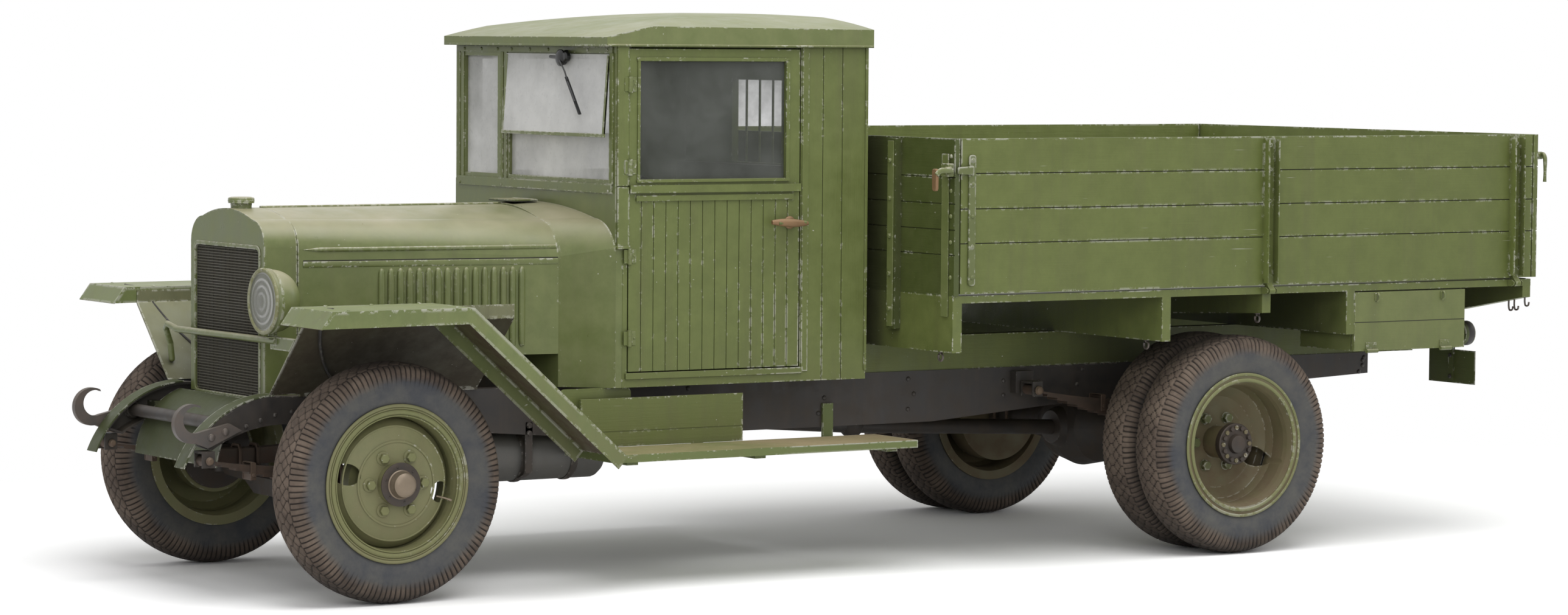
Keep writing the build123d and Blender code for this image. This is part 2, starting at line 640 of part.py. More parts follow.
with BuildPart() as cab_front:
    block((CAB_FRONT_X, FRONT_INSIDE_X), (-CAB_FRONT_HALF, CAB_FRONT_HALF), (CAB_BOTTOM_Z, FRONT_WALL_TOP_Z))
    through = (CAB_FRONT_X + 1, FRONT_INSIDE_X - 1)
    block(through, PASSENGER_PANE_Y, WINDSCREEN_Z, mode=Mode.SUBTRACT)
    block(through, DRIVER_PANE_Y, WINDSCREEN_Z, mode=Mode.SUBTRACT)
    block(through, (-590, 590), (CAB_BOTTOM_Z + 40, 1290), mode=Mode.SUBTRACT)
    block((FRONT_INSIDE_X, FRONT_INSIDE_X - 60), (-585, 585), (1300, 1440))
    for y_span, z_span, proud in FRONT_STRIPS:
        block((CAB_FRONT_X, CAB_FRONT_X + proud), y_span, z_span)
save(cab_front, "cab_front")

with BuildPart() as cab_back:
    half = CAB_REAR_HALF - CAB_WALL - 2
    shoulder_z, crown_z = BACK_WALL_TOP
    with BuildSketch(cross_plane(CAB_REAR_X)) as back_face:
        with BuildLine():
            Polyline((-half, shoulder_z), (-half, CAB_BOTTOM_Z), (half, CAB_BOTTOM_Z), (half, shoulder_z))
            ThreePointArc((half, shoulder_z), (0, crown_z), (-half, shoulder_z))
        make_face()
        with Locations((0, 1770)):
            Rectangle(560, 340, mode=Mode.SUBTRACT)
    extrude(back_face.sketch, amount=CAB_WALL)
    for y in GUARD_BARS_Y:
        rod((CAB_REAR_X + 10, y, 1598), (CAB_REAR_X + 10, y, 1942), 5)
save(cab_back, "cab_back")


def wall_strip(x_front, x_rear, s, z_low, z_high, thickness=CAB_WALL, outset=0.0, mode=Mode.ADD):
    """Piece of the cab's side wall between two stations, following the cab's taper."""
    with BuildSketch(Plane.XY.offset(z_low)) as plan:
        with BuildLine():
            Polyline(
                (x_front, s * (cab_half(x_front) + outset)), (x_rear, s * (cab_half(x_rear) + outset)),
                (x_rear, s * (cab_half(x_rear) + outset - thickness)),
                (x_front, s * (cab_half(x_front) + outset - thickness)), close=True,
            )
        make_face()
    extrude(plan.sketch, amount=z_high - z_low, mode=mode)


def board_grooves(stations, s, z_low, z_high):
    """Upright grooves between the boards of a side wall, at the given stations."""
    for x in stations:
        wall_strip(x + 1.5, x - 1.5, s, z_low, z_high, thickness=8, outset=4, mode=Mode.SUBTRACT)


QUARTER_SEAMS_X = (station(-1994), station(-2084))
SIDE_WALL_TOP_Z = 2100.0
with BuildPart() as cab_sides:
    for side, s in SIDES:
        wall_strip(FRONT_INSIDE_X, CAB_REAR_X, s, CAB_BOTTOM_Z, SIDE_WALL_TOP_Z)
        doorway_x = (DOOR_FRONT_X + MOVE_GAP, DOOR_REAR_X - MOVE_GAP)
        doorway_z = (DOOR_BOTTOM_Z - MOVE_GAP, DOOR_TOP_Z + MOVE_GAP)
        wall_strip(*doorway_x, s, *doorway_z, thickness=2 * CAB_WALL, outset=20, mode=Mode.SUBTRACT)
        board_grooves(QUARTER_SEAMS_X, s, CAB_BOTTOM_Z - 1, SIDE_WALL_TOP_Z + 1)
save(cab_sides, "cab_sides")

SEAT_BOX_Z = 1060.0
with BuildPart() as cab_floor:
    with BuildSketch(Plane.XY.offset(CAB_BOTTOM_Z)) as floor_plan:
        with BuildLine():
            front = cab_half(FRONT_INSIDE_X) - CAB_WALL
            rear = cab_half(BACK_INSIDE_X) - CAB_WALL
            Polyline(
                (FRONT_INSIDE_X, front), (BACK_INSIDE_X, rear),
                (BACK_INSIDE_X, -rear), (FRONT_INSIDE_X, -front),
                close=True,
            )
        make_face()
    extrude(floor_plan.sketch, amount=30)
    block((station(-1700), BACK_INSIDE_X), (-600, 600), (CAB_BOTTOM_Z + 30, SEAT_BOX_Z))
save(cab_floor, "cab_floor_and_seat_box")

SEAT_HALF = 590.0
BACKREST_X = station(-2060)
with BuildPart() as seat:
    block((station(-1640), BACKREST_X), (-SEAT_HALF, SEAT_HALF), (SEAT_BOX_Z, 1190))
    block((BACKREST_X, BACK_INSIDE_X), (-SEAT_HALF, SEAT_HALF), (SEAT_BOX_Z, 1600))
    fillet(seat.edges().filter_by(Axis.Y).group_by(Axis.Z)[-1], 30)
save(seat, "seat_cushions")

# ---- roof ---------------------------------------------------------------------------------
ROOF_FRONT_X = station(-1008)
ROOF_REAR_X = station(-2216)
ROOF_LONG_ARC = ((ROOF_FRONT_X, 2112), (station(-1640), 2207), (ROOF_REAR_X, 2198))
ROOF_EDGE_TOP_Z = 2148.0
ROOF_CROWN_Z = 2212.0
ROOF_HALF = (650.0, 696.0)
ROOF_SHELL = 16.0


def roof_block(inset):
    """Roof as the common part of its plan, its long arc and its cross arc, shrunk by inset."""
    front_half, rear_half = (half - inset for half in ROOF_HALF)
    front_x, rear_x = ROOF_FRONT_X - inset, ROOF_REAR_X + inset
    with BuildPart(mode=Mode.PRIVATE) as shape:
        with BuildSketch(Plane.XY.offset(ROOF_EDGE_Z - (1 if inset else 0))) as plan:
            with BuildLine():
                Polyline(
                    (front_x, front_half), (rear_x, rear_half),
                    (rear_x, -rear_half), (front_x, -front_half),
                    close=True,
                )
            make_face()
        extrude(plan.sketch, amount=200)
        low = ROOF_EDGE_Z - 5
        with BuildSketch(side_plane(-800)) as long_face:
            start, middle, end = [(x, z - inset) for x, z in ROOF_LONG_ARC]
            with BuildLine():
                ThreePointArc(start, middle, end)
                Polyline(end, (end[0], low), (start[0], low), start)
            make_face()
        extrude(long_face.sketch, amount=-1600, mode=Mode.INTERSECT)
        with BuildSketch(cross_plane(ROOF_REAR_X - 10)) as cross_face:
            half = ROOF_HALF[1]
            edge = ROOF_EDGE_TOP_Z - inset
            with BuildLine():
                ThreePointArc((-half, edge), (0, ROOF_CROWN_Z - inset), (half, edge))
                Polyline((half, edge), (half, low), (-half, low), (-half, edge))
            make_face()
        extrude(cross_face.sketch, amount=1300, mode=Mode.INTERSECT)
    return shape.part


with BuildPart() as cab_roof:
    add(roof_block(0.0))
    add(roof_block(ROOF_SHELL), mode=Mode.SUBTRACT)
save(cab_roof, "cab_roof")

# ---- doors --------------------------------------------------------------------------------
DOOR_WINDOW_X = (station(-1164), station(-1822))
DOOR_WINDOW_Z = (1562.0, 2020.0)
DOOR_HINGE_Z = (947.0, 1265.0, 1610.0, 1930.0)
HINGE_R = 9.0
DOOR_SEAMS_X = tuple(DOOR_FRONT_X - 55.0 * number for number in range(1, 14))
BELT_RAIL_Z = (1510.0, 1540.0)
HANDLE_Z = 1386.0
for side, s in SIDES:
    with BuildPart() as door:
        wall_strip(DOOR_FRONT_X, DOOR_REAR_X, s, DOOR_BOTTOM_Z, DOOR_TOP_Z)
        wall_strip(*DOOR_WINDOW_X, s, *DOOR_WINDOW_Z, thickness=2 * CAB_WALL, outset=20, mode=Mode.SUBTRACT)
        board_grooves(DOOR_SEAMS_X, s, DOOR_BOTTOM_Z - 1, 1480)
        wall_strip(DOOR_FRONT_X, DOOR_REAR_X, s, *BELT_RAIL_Z, thickness=14, outset=14)
        wall_strip(DOOR_FRONT_X - 30, DOOR_REAR_X + 30, s, 1478, 1500, thickness=8, outset=8)
        hinge_y = s * (cab_half(DOOR_FRONT_X) + HINGE_R)
        for z in DOOR_HINGE_Z:
            rod((DOOR_FRONT_X, hinge_y, z - 30), (DOOR_FRONT_X, hinge_y, z + 30), HINGE_R)
        boss_x = DOOR_REAR_X + 45
        door_y = cab_half(DOOR_REAR_X)
        rod((boss_x, s * (door_y - 2), HANDLE_Z), (boss_x, s * (door_y + 42), HANDLE_Z), 9)
        rod((boss_x - 52, s * (door_y + 38), HANDLE_Z), (boss_x + 76, s * (door_y + 38), HANDLE_Z), 8)
    save(door, f"door_{side}")
    with BuildPart() as door_glass:
        wall_strip(*DOOR_WINDOW_X, s, *DOOR_WINDOW_Z, thickness=5, outset=-14)
    save(door_glass, f"door_glass_{side}")

with BuildPart() as windscreen:
    glass_x = (CAB_FRONT_X - 14, CAB_FRONT_X - 19)
    block(glass_x, PASSENGER_PANE_Y, WINDSCREEN_Z)
    block(glass_x, DRIVER_PANE_Y, (WINDSCREEN_Z[0], 1740))
save(windscreen, "windscreen_glass")

FLAP_LEAN = 4.0
FLAP_HINGE_Z = 2040.0
with BuildPart() as flap:
    frame_half = (DRIVER_PANE_Y[1] - DRIVER_PANE_Y[0]) / 2
    flap_plane = Plane(
        origin=(CAB_FRONT_X + 3, sum(DRIVER_PANE_Y) / 2, FLAP_HINGE_Z), x_dir=(0, 1, 0),
        z_dir=(cos(radians(FLAP_LEAN)), 0, sin(radians(FLAP_LEAN))),
    )
    with BuildSketch(flap_plane) as flap_face:
        with Locations((0, -155)):
            Rectangle(2 * frame_half + 16, 320)
    extrude(flap_face.sketch, amount=6)
save(flap, "windscreen_flap")

with BuildPart() as wiper:
    rod((CAB_FRONT_X + 18, 270, 2030), (CAB_FRONT_X + 52, 270, 2030), 32)
    rod((CAB_FRONT_X + HEADER_PROUD, 270, 2054), (CAB_FRONT_X + 19, 270, 2054), 7)
    rod((CAB_FRONT_X + 44, 285, 2010), (CAB_FRONT_X + 44, 430, 1830), 4)
save(wiper, "wiper")

with BuildPart() as vent_lid:
    block(VENT_X, (-VENT_HALF, VENT_HALF), (1464, 1469))
    rod((VENT_X[1], -VENT_HALF, 1466), (VENT_X[1], VENT_HALF, 1466), 5)
save(vent_lid, "cowl_vent_lid")

# ---- steering wheel -----------------------------------------------------------------------
WHEEL_HUB = Vector(station(-1440), 330, 1440)
COLUMN_RAKE = 50.0
COLUMN_LENGTH = 785.0
COLUMN_DIR = Vector(-cos(radians(COLUMN_RAKE)), 0, sin(radians(COLUMN_RAKE)))
STEERING_R = 205.0
HUB_HEIGHT = 40.0
with BuildPart() as steering_wheel:
    with Locations(Plane(origin=WHEEL_HUB, z_dir=COLUMN_DIR, x_dir=(0, 1, 0))):
        Torus(STEERING_R, 13)
        Cylinder(34, HUB_HEIGHT)
        for angle in (0, 90):
            Box(2 * STEERING_R, 22, 10, rotation=(0, 0, angle))
save(steering_wheel, "steering_wheel")
with BuildPart() as steering_column:
    start = WHEEL_HUB - COLUMN_DIR * (HUB_HEIGHT / 2 + MOVE_GAP)
    rod(tuple(start), tuple(start - COLUMN_DIR * COLUMN_LENGTH), 20)
save(steering_column, "steering_column")

# ---- fenders, aprons and running boards ---------------------------------------------------
FENDER_Y = (725.0, 1055.0)
FENDER_PATH = ((427, 1050), (381, 1113), (-206, 1113), (-866, 532), (-905, 532))
FLANGE = 60.0


def sheet_profile(path, thickness, nose=None):
    """Closed band below a bent path, with its far side parallel to the path, or begun at the nose."""
    points = [Vector(station(x), z) for x, z in path]
    normals = []
    for a, b in zip(points, points[1:]):
        run = (b - a).normalized()
        normals.append(Vector(run.Y, -run.X))
    normals = [n if n.Y < 0 else n * -1 for n in normals]
    below = [points[0] + normals[0] * thickness]
    for corner, n0, n1 in zip(points[1:-1], normals, normals[1:]):
        bisector = (n0 + n1).normalized()
        below.append(corner + bisector * (thickness / bisector.dot(n0)))
    below.append(points[-1] + normals[-1] * thickness)
    if nose:
        below[0] = Vector(station(nose[0]), nose[1])
    with BuildLine() as path:
        Polyline(*[(p.X, p.Y) for p in points + below[::-1]], close=True)
    make_face(path.edges())


with BuildPart() as fenders:
    inner, outer = FENDER_Y
    for side, s in SIDES:
        with BuildSketch(side_plane(s * inner)) as sheet:
            sheet_profile(FENDER_PATH, SHEET)
        extrude(sheet.sketch, amount=-s * (outer - inner))
        for flange_y in (inner, outer - SHEET):
            with BuildSketch(side_plane(s * flange_y)) as flange:
                sheet_profile(FENDER_PATH[1:-1], FLANGE, nose=FENDER_PATH[0])
            extrude(flange.sketch, amount=-s * SHEET)
save(fenders, "fenders")

with BuildPart() as aprons:
    for side, s in SIDES:
        with BuildSketch(cross_plane(station(-560))) as apron_face:
            with BuildLine():
                Polyline(
                    (s * 725, 1100), (s * 725, 1047), (s * 441, 766), (s * 436, 766), (s * 721, 1053),
                    (s * 721, 1100), close=True,
                )
            make_face()
        extrude(apron_face.sketch, amount=890)
        block((station(-560), station(200)), (s * 418, s * 440), (RAIL_TOP_Z, 770))
save(aprons, "fender_aprons")

STEP_X = (station(-870), station(-2268))
STEP_Y = (646.0, 952.0)
STEP_Z = (498.0, 528.0)
STEP_IRONS_X = (station(-980), station(-1560), station(-2180))
with BuildPart() as running_boards:
    for side, s in SIDES:
        block(STEP_X, (s * STEP_Y[0], s * STEP_Y[1]), STEP_Z)
        for x in STEP_IRONS_X:
            iron_x = (x + 25, x - 25)
            block(iron_x, (s * RAIL_Y, s * 900), (STEP_Z[0] - 16, STEP_Z[0]))
            block(iron_x, (s * RAIL_Y, s * (RAIL_Y + 10)), (STEP_Z[0] - 16, 640))
save(running_boards, "running_boards")

SPLASH_X = (station(-900), station(-1640))
SPLASH_BOARD = 16.0
with BuildPart() as splash:
    for side, s in SIDES:
        block(SPLASH_X, (s * (STEP_Y[0] - SPLASH_BOARD), s * STEP_Y[0]), (STEP_Z[1] + 0.5, 717))
        block(SPLASH_X, (s * (STEP_Y[0] - 2), s * (STEP_Y[0] + 2)), (586, 590), mode=Mode.SUBTRACT)
        with BuildSketch(side_plane(s * 600)) as upper_plate:
            with Locations((station(-989), 711)):
                RectangleRounded(322, 90, 24)
        extrude(upper_plate.sketch, amount=-s * 4)
save(splash, "splash_boards")

# ---- head lamp on its cross bar -----------------------------------------------------------
LAMP = Vector(station(372), 470, 1120)
LAMP_BAR_X = LAMP.X - 42
LAMP_FOOT_Z = 987.0
with BuildPart() as head_lamp:
    # The bowl's half section about the lamp's own axis: (distance behind the rim, radius).
    with BuildSketch(Plane(origin=LAMP, x_dir=(-1, 0, 0), z_dir=(0, 1, 0))) as bowl:
        with BuildLine():
            Line((0, 0), (0, 116))
            Line((0, 116), (4, 126))
            Line((4, 126), (24, 126))
            ThreePointArc((24, 126), (98, 92), (132, 0))
            Line((132, 0), (0, 0))
        make_face()
    revolve(bowl.sketch, axis=Axis(LAMP, (1, 0, 0)))
    rod((LAMP_BAR_X, LAMP.Y, LAMP_FOOT_Z), (LAMP_BAR_X, LAMP.Y, 1010), 16)
save(head_lamp, "head_lamp")

with BuildPart() as lamp_bar:
    rod((LAMP_BAR_X, -360, 968), (LAMP_BAR_X, 500, 972), 13)
    with BuildSketch(cross_plane(LAMP_BAR_X - 20)) as near_bracket:
        with BuildLine():
            Polyline((450, LAMP_FOOT_Z), (652, LAMP_FOOT_Z), (606, 940), (450, 940), close=True)
        make_face()
    extrude(near_bracket.sketch, amount=20)
    # The far end's hanging iron, as the stations, Y and Z of its bends.
    bends = ((330, -352, 968), (330, -440, 984), (322, -474, 966), (292, -496, 905), (286, -494, 842))
    for start, end in zip(bends, bends[1:]):
        rod((station(start[0]), *start[1:]), (station(end[0]), *end[1:]), 12)
        with Locations((station(end[0]), *end[1:])):
            Sphere(12)
save(lamp_bar, "lamp_bar")

# ---- bed ----------------------------------------------------------------------------------
# Wooden beams across the bed: (station of the front face, underside at the frame, underside
# at the beam's ends).
CROSS_BEAMS = (
    (-2290, 884, 884), (-3326, 898, 898), (-3844, 960, 1000), (-4294, 898, 898), (-5271, 898, 1029),
)
BEAM = 44.0
BEAM_TAPER_Y = 430.0

# Hinges of the side boards and tailgate: pins through lugs on the floor, straps on the boards.
# Sections are (distance from the bed's middle, z) for a board whose outer face is at BED_HALF.
HINGE_Z = 1092.0
HINGE_OUT = 23.0
SIDE_HINGE_Y = BED_HALF + HINGE_OUT
STAKES_X = (station(-3866), station(-5211))
GATE_STAKES_Y = (-760.0, 0.0, 760.0)
PIN_R = 7.0
KNUCKLE_R = 13.0
LUG_FACE = ((1149, 1107), (1149, 1079), (1172, 1079), (1188, 1085), (1190, 1098), (1174, 1107))
GATE_LUG_FACE = ((1130, 1107), (1130, 1079), *LUG_FACE[2:])
STRAP_FACE = ((1155, 1128), (1163, 1128), (1191, 1094), (1174, 1080), (1156, 1112))


def face_of(points, s):
    """Face of a closed outline in the open sketch, mirrored for the right side."""
    with BuildLine() as path:
        Polyline(*[(s * across, z) for across, z in points], close=True)
    make_face(path.edges())


def hinge_lugs(plane, s, pin, along, points):
    """Two lugs and the pin through them, at a plane across the pin's middle."""
    for shift in (-27, 21):
        with BuildSketch(plane.offset(shift)) as lug:
            face_of(points, s)
        extrude(lug.sketch, amount=6)
    ends = [tuple(p + step * a for p, a in zip(pin, along)) for step in (-27, 27)]
    rod(*ends, PIN_R)


def hinge_strap(plane, s, pin_at, points):
    """Strap that curls round the hinge pin with a little play."""
    with BuildSketch(plane.offset(-15)) as strap:
        face_of(points, s)
        with Locations(pin_at):
            Circle(KNUCKLE_R)
            Circle(PIN_R + 1.5, mode=Mode.SUBTRACT)
    extrude(strap.sketch, amount=30)


with BuildPart() as bed_floor:
    half = BED_HALF - 5
    block((BED_FRONT_X, BED_REAR_X + BOARD), (-half, half), (BED_STRIP_Z, BED_FLOOR_Z - 2))
    inside = BED_HALF - BOARD - 5
    inside_x = (BED_FRONT_X - BOARD - 5, BED_REAR_X + BOARD + 5)
    block(inside_x, (-inside, inside), (BED_FLOOR_Z - 2, BED_FLOOR_Z))
    for x, low, end_low in CROSS_BEAMS:
        with BuildSketch(cross_plane(station(x - BEAM))) as beam:
            with BuildLine():
                Polyline(
                    (0, BED_STRIP_Z), (half, BED_STRIP_Z), (half, end_low), (BEAM_TAPER_Y, low), (0, low),
                    close=True,
                )
            make_face()
            mirror(about=Plane.YZ)
        extrude(beam.sketch, amount=BEAM)
    for s in (1, -1):
        block((station(-2334), station(-5290)), (s * 364, s * 426), (RAIL_TOP_Z, 898))
        for x in STAKES_X:
            hinge_lugs(cross_plane(x), s, (x, s * SIDE_HINGE_Y, HINGE_Z), (1, 0, 0), LUG_FACE)
    for y in GATE_STAKES_Y:
        pin = (BED_REAR_X - HINGE_OUT, y, HINGE_Z)
        gate_face = tuple((BED_REAR_X + BED_HALF - out, z) for out, z in GATE_LUG_FACE)
        hinge_lugs(side_plane(y), 1, pin, (0, 1, 0), gate_face)
save(bed_floor, "bed_floor")

with BuildPart() as front_board:
    block((BED_FRONT_X, BED_FRONT_X - BOARD), (-BED_HALF, BED_HALF), (BED_FLOOR_Z - 2, BED_TOP_Z))
    for z in FRONT_SEAMS:
        block((BED_FRONT_X, BED_FRONT_X - 4), (-BED_HALF, BED_HALF), (z - 2, z + 2), mode=Mode.SUBTRACT)
    for y in GATE_STAKES_Y:
        block((BED_FRONT_X + 30, BED_FRONT_X), (y - 28, y + 28), (960, BED_TOP_Z - 6))
save(front_board, "bed_front_board")

SIDE_BOARD_X = (BED_FRONT_X - BOARD - MOVE_GAP, BED_REAR_X + BOARD + MOVE_GAP)
for side, s in SIDES:
    with BuildPart() as side_board:
        block(SIDE_BOARD_X, (s * (BED_HALF - BOARD), s * BED_HALF), (BED_FLOOR_Z + MOVE_GAP, BED_TOP_Z))
        for z in PLANK_SEAMS:
            block(SIDE_BOARD_X, (s * (BED_HALF - 4), s * BED_HALF), (z - 2, z + 2), mode=Mode.SUBTRACT)
        for x in STAKES_X:
            block((x - 28, x + 28), (s * BED_HALF, s * (BED_HALF + 4)), (1118, BED_TOP_Z - 8))
            for edge in (-28, 24):
                block((x + edge, x + edge + 4), (s * BED_HALF, s * (BED_HALF + 38)), (1124, BED_TOP_Z - 12))
            hinge_strap(cross_plane(x), s, (s * SIDE_HINGE_Y, HINGE_Z), STRAP_FACE)
    save(side_board, f"bed_side_{side}")

with BuildPart() as tailgate:
    gate_x = (BED_REAR_X, BED_REAR_X + BOARD)
    block(gate_x, (-BED_HALF, BED_HALF), (BED_FLOOR_Z + MOVE_GAP, BED_TOP_Z))
    for z in PLANK_SEAMS:
        block((BED_REAR_X, BED_REAR_X + 4), (-BED_HALF, BED_HALF), (z - 2, z + 2), mode=Mode.SUBTRACT)
    for y in GATE_STAKES_Y:
        block((BED_REAR_X - 4, BED_REAR_X), (y - 28, y + 28), (1118, BED_TOP_Z - 8))
        for edge in (-28, 24):
            block((BED_REAR_X - 38, BED_REAR_X), (y + edge, y + edge + 4), (1124, BED_TOP_Z - 12))
        gate_face = tuple((BED_REAR_X + BED_HALF - out, z) for out, z in STRAP_FACE)
        hinge_strap(side_plane(y), 1, (BED_REAR_X - HINGE_OUT, HINGE_Z), gate_face)
    for s in (1, -1):
        latch_y = s * (BED_HALF - 30)
        rod((BED_REAR_X, latch_y, 1634), (BED_REAR_X - 48, latch_y, 1634), 16)
save(tailgate, "tailgate")

TOOLBOX_X = (station(-4339), station(-4945))
TOOLBOX_Y = (800.0, 1127.0)
TOOLBOX_HINGE_Y = 1158.0
TOOLBOX_Z = (826.0, BED_STRIP_Z)
TOOLBOX_WALL = 18.0
with BuildPart() as toolbox:
    block(TOOLBOX_X, TOOLBOX_Y, TOOLBOX_Z)
    inner_x = (TOOLBOX_X[0] - TOOLBOX_WALL, TOOLBOX_X[1] + TOOLBOX_WALL)
    inner_y = (TOOLBOX_Y[0] + TOOLBOX_WALL, TOOLBOX_Y[1] + 1)
    inner_z = (TOOLBOX_Z[0] + TOOLBOX_WALL, TOOLBOX_Z[1] - TOOLBOX_WALL)
    block(inner_x, inner_y, inner_z, mode=Mode.SUBTRACT)
save(toolbox, "toolbox")
with BuildPart() as toolbox_lid:
    lid_y = (TOOLBOX_Y[1] + 5, TOOLBOX_Y[1] + 5 + TOOLBOX_WALL)
    block(TOOLBOX_X, lid_y, (TOOLBOX_Z[0], TOOLBOX_Z[1] - MOVE_GAP))
    for x in (TOOLBOX_X[0] - 90, TOOLBOX_X[1] + 110):
        rod((x - 28, TOOLBOX_HINGE_Y, TOOLBOX_Z[0]), (x + 28, TOOLBOX_HINGE_Y, TOOLBOX_Z[0]), 8)
        block((x - 28, x + 28), (TOOLBOX_Y[1] + 20, TOOLBOX_HINGE_Y), (TOOLBOX_Z[0], TOOLBOX_Z[0] + 8))
save(toolbox_lid, "toolbox_lid")

# ---- number plate and tail lamp -----------------------------------------------------------
PLATE_X = station(-5200)
TAIL_LAMP = (PLATE_X + 50, 880.0, 862.0)
TAIL_LAMP_R = 52.0
with BuildPart() as rear_plate:
    block((PLATE_X, PLATE_X - 3), (640, 936), (640, 786))
    block((PLATE_X, PLATE_X + 6), (770, 800), (650, 960))
    rod(TAIL_LAMP, (PLATE_X - 5, *TAIL_LAMP[1:]), TAIL_LAMP_R)
    block((PLATE_X, PLATE_X + 10), (790, 860), (850, 874))
save(rear_plate, "number_plate_and_lamp")
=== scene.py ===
"""Looks of a two-axle military cargo truck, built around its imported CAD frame.

Every new piece is a surface worked out with numpy in metres: X is forward, Y to the truck's left,
Z up, and the origin lies on the ground under the middle of the truck.
"""

import json
import math
from functools import cache, partial

import bmesh
import bpy
import numpy as np
from bpy.props import FloatProperty, FloatVectorProperty, IntProperty, PointerProperty
from bpy.types import Operator, Panel, PropertyGroup
from mathutils import Matrix, Vector

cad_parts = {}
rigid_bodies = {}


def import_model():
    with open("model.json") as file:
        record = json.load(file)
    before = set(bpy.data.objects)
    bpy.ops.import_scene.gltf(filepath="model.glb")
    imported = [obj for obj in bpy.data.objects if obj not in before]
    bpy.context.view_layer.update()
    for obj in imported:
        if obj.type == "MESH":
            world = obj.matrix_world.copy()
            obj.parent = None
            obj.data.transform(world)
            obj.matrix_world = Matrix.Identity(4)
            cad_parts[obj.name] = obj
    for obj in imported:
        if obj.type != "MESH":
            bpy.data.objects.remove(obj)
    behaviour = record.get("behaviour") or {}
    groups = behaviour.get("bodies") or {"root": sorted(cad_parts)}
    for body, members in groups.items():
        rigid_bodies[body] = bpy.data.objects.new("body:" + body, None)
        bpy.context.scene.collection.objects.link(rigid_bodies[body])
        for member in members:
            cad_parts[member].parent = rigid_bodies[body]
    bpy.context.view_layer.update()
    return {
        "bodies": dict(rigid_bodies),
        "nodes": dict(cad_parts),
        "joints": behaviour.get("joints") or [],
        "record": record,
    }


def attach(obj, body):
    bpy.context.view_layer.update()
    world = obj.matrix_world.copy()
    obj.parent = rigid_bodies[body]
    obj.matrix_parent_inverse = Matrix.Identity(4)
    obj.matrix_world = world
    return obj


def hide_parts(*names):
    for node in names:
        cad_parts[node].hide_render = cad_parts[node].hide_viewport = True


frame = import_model()

bl_info = {
    "name": "Cargo truck dresser",
    "version": (1, 0, 0),
    "blender": (4, 5, 0),
    "location": "View3D > Sidebar > Truck",
    "description": "Adds tyres, fittings, glass, paint and a studio to the truck's CAD frame",
    "category": "Object",
}

NODES = frame["nodes"]
MM = 0.001

SIDES = (("left", 1), ("right", -1))
BOTH = (1, -1)
FORWARD, BACK, LEFT, UP, DOWN = (1, 0, 0), (-1, 0, 0), (0, 1, 0), (0, 0, 1), (0, 0, -1)

# The axles, in metres.
FRONT_AXLE_X = 2.330
REAR_AXLE_X = -1.480
AXLE_Z = 0.452
# Radius in metres of the circle of wheel nuts.
NUT_R = 0.112
# Heights in mm of the bead along the hood and of the seam below it.
BEAD_Z = 1301.0
SEAM_Z = 1258.0
# Sideways places in mm of the screws along the cab's header.
HEADER_SCREWS_Y = (-558, -418, -285, -172, -25, 120, 424, 574)
# Heights in mm of a door's four hinges.
HINGES_Z = (947, 1265, 1610, 1930)
# Mean slope of the cab's side walls: 40 mm wider over a length of 1142 mm.
CAB_TAPER = 40 / 1142
# How far the doors' screws and handles look forwards for each metre outwards.
DOOR_LEAN = 0.035

# Strength of the world's light, and how much paler the floor is to the camera than to the truck.
AMBIENT = 0.45
FLOOR_LIFT = 2.4
GLASS_IOR = 1.5
# Settings of a Mix node for colours, whose result is its third output.
COLOURS = {"out": 2, "data_type": "RGBA"}
# Near black of the painted shade in seams, grooves and the gaps between boards.
GAP_SHADE = "#23231b"
# Heights in metres between which the mud on the aprons fades out.
MUD_FULL_Z, MUD_NONE_Z = 0.96, 1.0
# Half width in metres of a gap between floor boards, at its edge and where it is quite dark.
PLANK_GAP_EDGE, PLANK_GAP_CORE = 0.0030, 0.0018
# Distance in metres between the ribs of the lamp glass.
RIB_PITCH = 0.026


def station(distance):
    """X in metres of a point this many millimetres ahead of the front axle."""
    return FRONT_AXLE_X + distance * MM


def spot(x, y, z):
    """A place, or a row or grid of them, in metres, from stations, y and z in mm."""
    return np.stack(np.broadcast_arrays(station(x), y * MM, z * MM), -1)


# ---- colours and shader nodes ----
def linear(text):
    """sRGB hex text as linear RGBA: each channel c gives c/12.92 below 0.04045, else ((c+0.055)/1.055)^2.4."""
    channels = [int(text[i : i + 2], 16) / 255 for i in (1, 3, 5)]
    return (*[c / 12.92 if c <= 0.04045 else ((c + 0.055) / 1.055) ** 2.4 for c in channels], 1.0)


def feed(tree, node, inputs):
    """Gives a node's sockets their values, or links to the sockets that stand in for them."""
    for key, value in inputs.items():
        if isinstance(value, bpy.types.NodeSocket):
            tree.links.new(value, node.inputs[key])
        else:
            node.inputs[key].default_value = value


def wire(tree, kind, inputs=None, out=0, **settings):
    """Adds one node with its settings and its inputs. Gives one of its outputs."""
    made = tree.nodes.new("ShaderNode" + kind)
    for key, value in settings.items():
        setattr(made, key, value)
    feed(tree, made, inputs or {})
    return made.outputs[out]


def blank(name):
    """A new material with only its output and a Principled shader. Gives the material, wire bound to its tree,
    feed bound to that shader, and the place in metres, on which every pattern is laid."""
    material = bpy.data.materials.new(name)
    material.use_nodes = True
    tree = material.node_tree
    shader = next(n for n in tree.nodes if n.type == "BSDF_PRINCIPLED")
    return material, partial(wire, tree), partial(feed, tree, shader), wire(tree, "TexCoord", out="Object")


